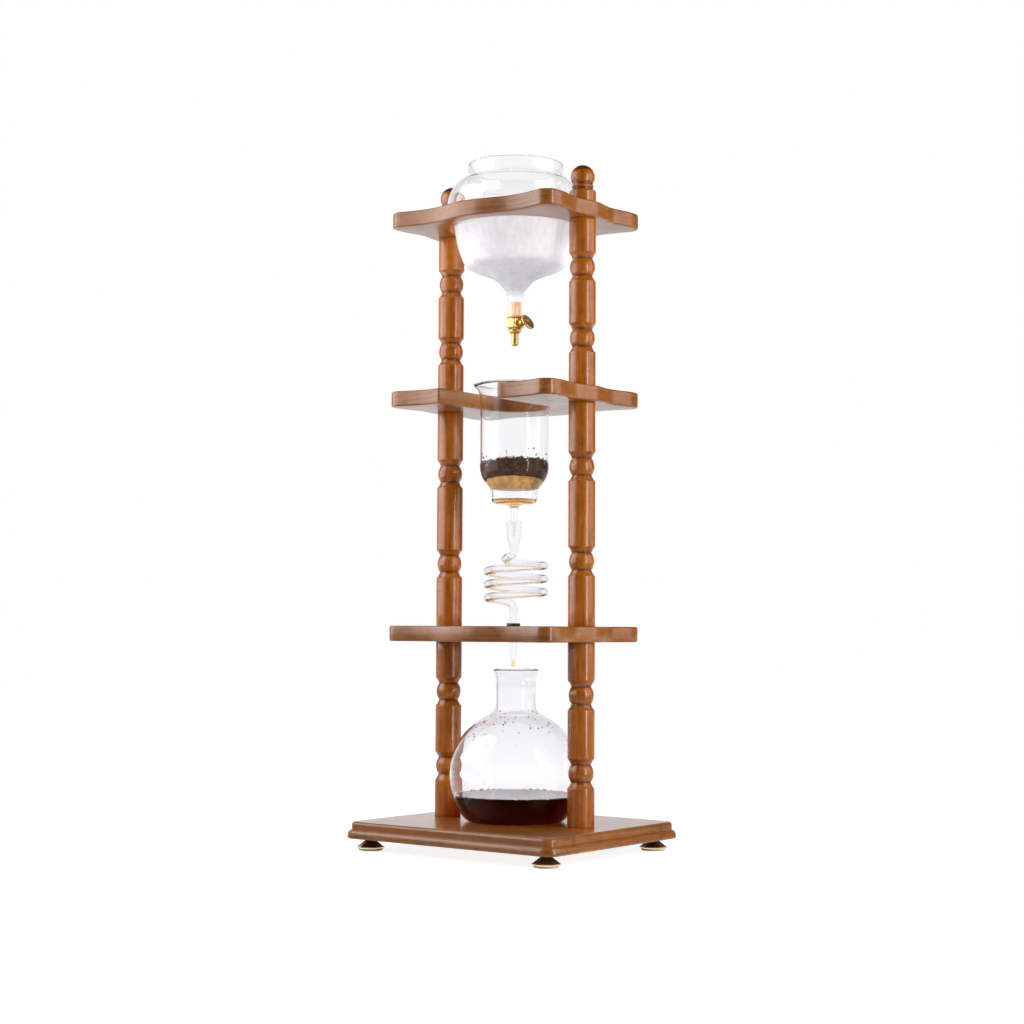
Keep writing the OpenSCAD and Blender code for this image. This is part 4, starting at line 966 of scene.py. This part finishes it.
def coffeeAndFilter():
    low, high = chamber["bedLow"], chamber["bedHigh"]
    z = np.linspace(low, high, 24)
    side = np.stack([liningRadius(z, -0.03), z], 1)
    r = np.linspace(side[-1, 0], 0, 40)[1:]
    crown = np.stack([r, high + (chamber["dome"] - 2) * (1 - (r / side[-1, 0]) ** 2)], 1)
    profile = chain([[0, low], [side[0, 0] - 0.2, low]], side, crown)
    points, quads = lathe(profile, 192)
    points = raisedInFront(points, low, high - 8)
    lift = np.clip((points[..., 2] - (high - 6)) / 6, 0, 1)
    flat = points * [1, 1, 0]
    ragged = 0.9 * rough(flat, 26, 6) + 0.9 * rough(flat, 9, 3) + 1.3 * rough(flat, 4.2, 4)
    centreFade = np.clip(np.hypot(points[..., 0], points[..., 1]) / 2, 0, 1)
    risen = lift * (2.2 * ragged * centreFade - lean(points[..., 0], points[..., 1]))
    points[..., 2] += np.minimum(risen, high + chamber["dome"] + 0.8 - points[..., 2])
    radius = np.hypot(points[..., 0], points[..., 1])
    limit = liningRadius(points[..., 2], -0.03)
    shrink = np.minimum(1, limit / np.maximum(radius, 1e-6))
    points[..., :2] *= shrink[..., None]
    addPiece("coffee_bed_wet", (points + [0, 0, middleTop], quads), groundCoffee, "chamber",
             ["coffee_bed"], crease=180)
    z = np.linspace(chamber["filterLow"], low, 16)
    side = np.stack([liningRadius(z, -0.02), z], 1)
    profile = chain([[0, z[0]], [side[0, 0] - 1.2, z[0]], [side[0, 0] - 0.3, z[0] + 0.3]], side[1:], [[0, low]])
    points, quads = lathe(profile, 160)
    points = raisedInFront(points, low, chamber["filterLow"] + 1.5)
    points = points + np.where(points[..., 2:] < z[1], [0, 0, 0.25], [0, 0, 0]) * rough(points, 5, 8)[..., None]
    addPiece("filter_disc_felt", (points + [0, 0, middleTop], quads), filterFelt, "chamber",
             ["filter_disc"], crease=60)


def blobs(places, sizes, squash, seed, steps=(7, 10)):
    # Small round drops or crumbs: a ball of one grid, stretched by its own lumps and set at each place
    v, u = np.meshgrid(np.linspace(0, pi, steps[0]), np.arange(steps[1]) * 2 * pi / steps[1], indexing="ij")
    ball = np.stack([np.sin(v) * np.cos(u), np.sin(v) * np.sin(u), np.cos(v)], -1)
    one = gridQuads(*steps)
    parts = []
    for i, (place, size) in enumerate(zip(places, sizes)):
        form = ball * size
        if squash:
            form = form * (1 + 0.25 * rough(ball * 2 + i, 2.0, seed + i)[..., None])
        parts.append((form + place, one))
    return joined(*parts)


def foamAndGrounds():
    # Pale froth lies on the crown of the bed, crumbs stick to the glass over its edge, and a few grounds
    # have slipped past the filter
    random = np.random.default_rng(21)
    turn = radians(chamber["front"] + 90)
    share, angle = np.sqrt(random.uniform(0, 1, 150)), random.uniform(0, 2 * pi, 150)
    across, back = -6 + 14 * share * np.cos(angle), -24 + 9 * share * np.sin(angle)
    x, y = across * cos(turn) - back * sin(turn), across * sin(turn) + back * cos(turn)
    edge = liningRadius(chamber["bedHigh"], 0)
    crown = chamber["bedHigh"] + chamber["dome"] * (1 - (x * x + y * y) / edge ** 2)
    places = np.stack([x, y, middleTop + crown + random.uniform(-0.8, 1.6, 150)], 1)
    addPiece("coffee_froth", blobs(places, random.uniform(0.4, 1.0, 150), True, 5),
             frothFoam, "chamber", crease=180)
    count = 420
    angle = np.radians(random.uniform(0, 360, count))
    height = chamber["bedHigh"] + np.where(np.arange(count) < 16, random.uniform(4, 14, count),
                                           np.abs(random.normal(0, 1.9, count)) + 0.2)
    sizes = random.uniform(0.4, 1.2, count)
    height -= lean(38 * np.cos(angle), 38 * np.sin(angle))
    r = liningRadius(height, 0) - sizes * 0.8
    places = np.stack([r * np.cos(angle), r * np.sin(angle), height + middleTop], 1)
    addPiece("clinging_grounds", blobs(places, sizes, True, 15, (5, 7)), groundCoffee, "chamber",
             crease=180)
    angle = np.radians(random.uniform(180, 360, 26))
    r = random.uniform(5, 22, 26)
    places = np.stack([r * np.cos(angle), r * np.sin(angle), np.full(26, middleTop - 129.3)], 1)
    addPiece("stray_grounds", blobs(places, random.uniform(0.3, 0.8, 26), True, 9), groundCoffee, "chamber",
             crease=180)


def cupLiquid():
    # Fresh coffee stands in the cup round the way out, and a little hangs in the tip of the stem
    level = -125.6
    wall = inset(chamberOutside(), chamber["wall"], chamber["stemWall"])
    floor = wall[(wall[:, 1] < level + 0.5) & (wall[:, 1] > -137) & (wall[:, 0] > 3.4)]
    profile = chain([[0, level], [floor[0, 0] - 2.5, level], [floor[0, 0] - 0.8, level + 0.15]], floor + [0.03, 0], [[0, floor[-1, 1]]])
    addPiece("cup_coffee", lathe(profile + [0, middleTop], 96), weakCoffee, "chamber", crease=60)
    column = wall[(wall[:, 1] < -152) & (wall[:, 1] > -168.2)]
    profile = chain([[0, column[0, 1] - 0.6]], column + [0.03, 0], [[column[-1, 0] * 0.9, -168.6], [column[-1, 0] * 0.5, -169.0], [0, -169.1]])
    addPiece("stem_coffee", lathe(profile + [0, middleTop], 48), stemCoffee, "chamber", crease=60)


stemCoffee = coffeeLiquid("stem coffee", (0.95, 0.72, 0.28), 120, ior=1.20)
frothFoam = softPlastic("coffee froth", (0.82, 0.70, 0.56), (0.60, 0.44, 0.30), 0.45, 900)
brewChamber()
coffeeAndFilter()
foamAndGrounds()
cupLiquid()
print("brew chamber made")


# ---- cooling coil ----

coil = {"spiralIn": 0.7, "turns": 2.5, "spiralOut": 0.3, "start": 290, "middle": (2, 1.6), "r": 33.2, "pitch": 15.4,
        "inletDrop": 4, "outletDrop": 14, "tube": 4.8, "bore": 3.3, "perTurn": 96, "sides": 40, "outlet": 4.5, "tip": 2.8, "tipBore": 2.0}


def coilPath():
    # The radius eases out from the axis over the first part of a turn and back over the last, while the
    # height falls one pitch a turn
    span = coil["spiralIn"] + coil["turns"] + coil["spiralOut"]
    u = np.linspace(0, span, int(span * coil["perTurn"]))
    ease = lambda t: np.clip(t, 0, 1) ** 2 * (3 - 2 * np.clip(t, 0, 1))
    s = ease(u / coil["spiralIn"]) * ease((span - u) / coil["spiralOut"])
    a = np.radians(coil["start"] - 360 * u)
    into, outOf = np.clip(1 - u / coil["spiralIn"], 0, 1), np.clip(1 - (span - u) / coil["spiralOut"], 0, 1)
    top = bottomOf("coil_inlet") - 7
    z = top - coil["pitch"] * u + coil["inletDrop"] * into ** 3 - coil["outletDrop"] * outOf ** 3
    return np.stack([s * (coil["middle"][0] + coil["r"] * np.cos(a)), s * (coil["middle"][1] + coil["r"] * np.sin(a)), z], 1)


def coolingCoil():
    turns = coilPath()
    funnelTop, funnelEnd = topOf("coil_inlet"), bottomOf("coil_inlet")
    tipEnd = bottomOf("glass_coil")
    outletEnd = tipEnd + 13
    # Funnel and outlet stand on the axis: outside radius, wall and height
    funnel = curve([[9.2, 1.1, 0], [9.1, 1.3, -3], [8.9, 1.3, -8], [8.6, 1.3, -14.7], [7.8, 1.4, -22.7], [5.5, 1.6, -30], [4.85, 1.5, -34]], 5)
    straight = np.linspace(turns[-1, 2] - 3, outletEnd + 3, 14)
    outlet = np.stack([np.full(14, coil["outlet"]), np.full(14, 1.3), straight], 1)
    tip = curve([[coil["outlet"] - 0.1, 1.4, outletEnd + 0.6], [coil["tip"] + 0.8, 1.2, outletEnd - 1.4], [coil["tip"], 0.8, outletEnd - 3.0],
                 [coil["tip"], 0.8, tipEnd + 4], [coil["tip"] - 0.15, 0.9, tipEnd + 1.2], [coil["tip"] - 0.9, 0.8, tipEnd + 0.1]], 5)
    onAxis = lambda z: np.stack([0 * z, 0 * z, z], 1)
    path = chain(onAxis(funnel[:, 2] + funnelTop), turns[1:-1], onAxis(outlet[:, 2]), onAxis(tip[:, 2]))
    outer = np.concatenate([funnel[:, 0], np.full(len(turns) - 2, coil["tube"]), outlet[:, 0], tip[:, 0]])
    wall = np.concatenate([funnel[:, 1], np.full(len(turns) - 2, coil["tube"] - coil["bore"]), outlet[:, 1], tip[:, 1]])
    frames = sweepFrames(path)
    points = np.concatenate([tube(path, outer, coil["sides"], frames), tube(path, outer - wall, coil["sides"], frames)[::-1]])
    addPiece("glass_coil_blown", (points, gridQuads(len(points), coil["sides"], closeRows=True)), coilGlass, "coil",
             ["glass_coil", "coil_inlet"], crease=180)
    # A thread of coffee runs along the bottom of the bore: the part of the bore's circle below a chord
    way, side, up = frames
    inTurns = slice(len(funnel) + 4, len(funnel) + len(turns) - 12)
    line, w = path[inTurns], way[inTurns]
    down = np.array([0, 0, -1.0]) - w * (-w[:, 2:])
    down /= np.linalg.norm(down, axis=1)[:, None]
    across = np.cross(w, down)
    a = np.radians(np.linspace(-50, 50, 13))
    bore = coil["bore"] + 0.05
    u = np.concatenate([bore * np.cos(a), np.full(5, bore * cos(radians(50)))])
    v = np.concatenate([bore * np.sin(a), bore * sin(radians(50)) * np.linspace(0.8, -0.8, 5)])
    strand = line[:, None] + down[:, None] * u[None, :, None] + across[:, None] * v[None, :, None]
    addPiece("coffee_strand", (strand, gridQuads(len(strand), len(u))), thinCoffee, "coil", ends=True, crease=50)
    # Coffee stands in the drip tip and hangs from it in a drop
    drop = chain([[0, outletEnd - 4]], [[coil["tipBore"] + 0.15, outletEnd - 4.2], [coil["tipBore"] + 0.15, tipEnd + 1.6],
                  [1.05, tipEnd + 0.4]], [[1.25, tipEnd + 0.2], [0.9, tipEnd + 0.02], [0, tipEnd + 0.01]])
    addPiece("tip_coffee", lathe(drop, 48), thinCoffee, "coil", crease=180)


coolingCoil()
print("cooling coil made")


# ---- flask ----

flask = {"r": 77, "middle": 53, "neckR": 23.4, "wall": 2.0, "x": 2.5, "y": 2.0, "level": 31}


def flaskOutside():
    r, middle, neck = flask["r"], flask["middle"], flask["neckR"]
    shoulder = [r * cos(radians(67)), middle + r * sin(radians(67))]
    low = -degrees(asin((middle - 4) / r))
    heel = [r * cos(radians(low)), middle + r * sin(radians(low))]
    return chain(curve([[26.9, 175.4], [26.2, 173.2], [24.6, 169], [neck + 0.1, 163.5], [neck, 160.5]], 5),
                 [[neck, 150], [neck, shoulder[1] + 12]],
                 curve([[neck + 0.3, shoulder[1] + 9], [neck + 1.4, shoulder[1] + 5], shoulder], 6)[:-1],
                 arc((0, middle), r, 67, low, 64),
                 curve([[heel[0] - 2.6, heel[1] - 2.1], [heel[0] - 6, 0.5], [heel[0] - 10, 0]], 4), [[20, 0], [0, 0]])


def glassFlask():
    outside = flaskOutside()
    lining = inset(outside[:-2], flask["wall"])
    lining = lining[np.concatenate([[True], np.diff(lining[:, 1]) < -1e-3])]
    lining = lining[lining[:, 1] > flask["wall"] + 0.4]
    floorR = lining[-1, 0] - 3
    loop = chain([[0, 0]], outside[:-1][::-1], roundEnd(outside[0], lining[0])[:, :], lining, [[floorR, flask["wall"]], [0, flask["wall"]]])
    centre = (flask["x"], flask["y"])
    addPiece("flask_blown", lathe(loop + [0, baseTop], 192, centre), flaskGlass, "server", ["flask"], crease=180)
    level = flask["level"]
    wet = lining + [0.02, 0]
    wet = wet[wet[:, 1] < level + 0.9]
    body = chain([[0, level], [wet[0, 0] - 5, level], [wet[0, 0] - 1.5, level + 0.2]], wet, [[floorR, flask["wall"] - 0.02], [0, flask["wall"] - 0.02]])
    addPiece("flask_coffee", lathe(body + [0, baseTop], 192, centre), brewedCoffee, "server",
             ["brewed_coffee"], crease=60)


def liningPoints(lining, centre, base, angles, heights, inward):
    r = np.interp(heights, lining[::-1, 1], lining[::-1, 0]) - inward
    return np.stack([centre[0] + r * np.cos(angles), centre[1] + r * np.sin(angles), base + heights], 1)


def flaskDrops():
    # Splashes of coffee cling inside the shoulder, clear drops lower down, and froth rings the surface
    random = np.random.default_rng(33)
    lining = inset(flaskOutside()[:-2], flask["wall"])
    centre = (flask["x"], flask["y"])
    count = 90
    angles = np.radians(random.uniform(0, 360, count))
    heights = random.normal(114, 9, count).clip(88, 126)
    sizes = random.uniform(0.4, 1.1, count)
    addPiece("splashed_coffee", blobs(liningPoints(lining, centre, baseTop, angles, heights, 0.15), sizes, True, 2),
             splashCoffee, "server", crease=180)
    count = 110
    angles = np.radians(random.uniform(0, 360, count))
    heights = np.concatenate([random.uniform(40, 105, 60), random.uniform(32.5, 44, 50)])
    sizes = random.uniform(0.25, 0.75, count)
    addPiece("clinging_drops", blobs(liningPoints(lining, centre, baseTop, angles, heights, 0.1), sizes, True, 4),
             dropWater, "server", crease=180)
    count = 60
    angles = np.radians(random.uniform(0, 360, count))
    heights = np.full(count, flask["level"] + 0.5)
    sizes = random.uniform(0.5, 1.3, count)
    addPiece("surface_froth", blobs(liningPoints(lining, centre, baseTop, angles, heights, 1.2), sizes, True, 7),
             paleFroth, "server", crease=180)


paleFroth = softPlastic("pale froth", (0.86, 0.82, 0.78), (0.68, 0.56, 0.46), 0.35, 700)
glassFlask()
flaskDrops()
print("flask made")


# ---- floor, light and camera ----

studio = {"ambient": 0.10, "floorGlow": 0.86, "floorFar": 0.16, "floorColour": 0.5, "dark": 0.05, "front": 0.30, "left": 0.65,
          "floorAhead": 0.12, "floorThrough": 0.25}
view = {"turn": 37.2545, "height": 257.75, "away": 2233.98, "tilt": 3.453, "roll": 0.301, "aside": -0.0623, "lens": 67.143}


def lightPaths(paint):
    return [paint.add("ShaderNodeLightPath", output="Is " + kind + " Ray") for kind in ("Camera", "Glossy", "Transmission")]


def studioFloor():
    r = np.linspace(0, 6000, 13)
    points, quads = lathe(np.stack([r, 0 * r], 1), 64)
    mesh = bpy.data.meshes.new("floor")
    mesh.from_pydata((points.reshape(-1, 3) * mm).tolist(), [], quads[:, ::-1].tolist())
    floor = bpy.data.objects.new("floor", mesh)
    bpy.context.scene.collection.objects.link(floor)
    material, paint = newPaint("pale floor")
    ahead, glossy, through = lightPaths(paint)
    seen = ahead.maths("MAXIMUM", ahead, glossy.maths("MAXIMUM", glossy, through))
    shade = studio["floorColour"]
    # Mirrored in the object, the floor is bright behind and under it, and dark on the camera's side
    x, y, z = paint.split(paint.place())
    behind = paint.spread(y * cos(radians(view["turn"])) - x * sin(radians(view["turn"])), -0.2, 1.2)
    away = x * x + y * y
    away = away.maths("SQRT", away)
    near = 1 - paint.spread(away, 0.22, 0.40)
    low = studio["floorAhead"] + through * studio["floorThrough"]
    part = ahead + (1 - ahead) * (low + behind.maths("MAXIMUM", behind, near) * (1 - low))
    matt = paint.add("ShaderNodeBsdfDiffuse", inputs={"Color": (shade, shade, shade)})
    glow = paint.add("ShaderNodeEmission", inputs={
        "Strength": seen * part * (studio["floorGlow"] + paint.spread(away, 0.35, 1.1) * studio["floorFar"])})
    paint.finish(paint.add("ShaderNodeAddShader", inputs={0: matt, 1: glow}))
    mesh.materials.append(material)


def studioWorld():
    # White behind the object for the camera. Gloss sees that white straight behind, a pale wall on the left and a
    # dark room elsewhere, and light through the glass sees white all round the back.
    world = bpy.data.worlds.new("studio")
    bpy.context.scene.world = world
    paint = Paint(world)
    camera, glossy, through = lightPaths(paint)
    x, y, z = paint.split(paint.add("ShaderNodeTexCoord", output="Generated"))
    turn = radians(view["turn"])
    back = y * cos(turn) - x * sin(turn)
    left = -x * cos(turn) - y * sin(turn)
    behind = paint.spread(back, 0.72, 0.92)
    beside = paint.spread(left - back * 0.1, 0.55, 0.85) * studio["left"]
    gloss = studio["dark"] + behind.maths("MAXIMUM", behind, beside) * (1 - studio["dark"])
    glass = studio["front"] + paint.spread(back, -0.45, 0.40) * (1 - studio["front"])
    other = through * glass + (1 - through) * (glossy * gloss + (1 - glossy) * studio["ambient"])
    strength = camera + (1 - camera) * other
    background = paint.add("ShaderNodeBackground", inputs={"Color": (1, 1, 1), "Strength": strength})
    out = paint.tree.nodes.new("ShaderNodeOutputWorld")
    paint.tree.links.new(background.socket, out.inputs["Surface"])


def softbox(name, lampSet):
    # An upright sheet of light, turned round from the camera's side, that faces the tower
    turn = radians(view["turn"] + lampSet["side"])
    lamp = bpy.data.lights.new(name, "AREA")
    lamp.shape, lamp.size, lamp.size_y = "RECTANGLE", lampSet["width"], lampSet["tall"]
    lamp.energy, lamp.color = lampSet["power"], lampSet["colour"]
    holder = bpy.data.objects.new(name, lamp)
    bpy.context.scene.collection.objects.link(holder)
    holder.location = (sin(turn) * lampSet["away"], -cos(turn) * lampSet["away"], lampSet["height"])
    holder.rotation_euler = Vector((sin(turn), -cos(turn), 0)).to_track_quat("Z", "Y").to_euler()
    holder.visible_camera = False


def placeCamera():
    turn, aside, tilt, roll = (radians(view[name]) for name in ("turn", "aside", "tilt", "roll"))
    heading = turn - aside
    up = Vector((0, 0, 1))
    level = Vector((-sin(heading), cos(heading), 0))
    right = Vector((cos(heading), sin(heading), 0))
    ahead = level * cos(tilt) + up * sin(tilt)
    above = up * cos(tilt) - level * sin(tilt)
    across = right * cos(roll) + above * sin(roll)
    above = above * cos(roll) - right * sin(roll)
    camera = bpy.data.objects.new("camera", bpy.data.cameras.new("camera"))
    camera.data.lens, camera.data.sensor_width = view["lens"], 36
    camera.data.clip_start, camera.data.clip_end = 0.05, 50
    camera.matrix_world = Matrix.Translation(Vector((sin(turn) * view["away"], -cos(turn) * view["away"], view["height"])) * mm) \
        @ Matrix((across, above, -ahead)).transposed().to_4x4()
    bpy.context.scene.collection.objects.link(camera)
    bpy.context.scene.camera = camera


studioFloor()
studioWorld()
softbox("right softbox", {"side": 75, "away": 1.30, "height": 0.86, "width": 1.25, "tall": 1.35, "power": 10.3,
                          "colour": (1.0, 0.96, 0.92)})
softbox("right strip", {"side": 45, "away": 1.30, "height": 0.62, "width": 0.16, "tall": 1.3, "power": 9.4,
                        "colour": (1.0, 0.97, 0.94)})
softbox("left softbox", {"side": -84, "away": 0.70, "height": 0.80, "width": 0.80, "tall": 1.1, "power": 9.6,
                         "colour": (0.93, 0.95, 1.0)})
placeCamera()
bpy.context.scene.view_settings.view_transform = "Standard"
print("studio made")
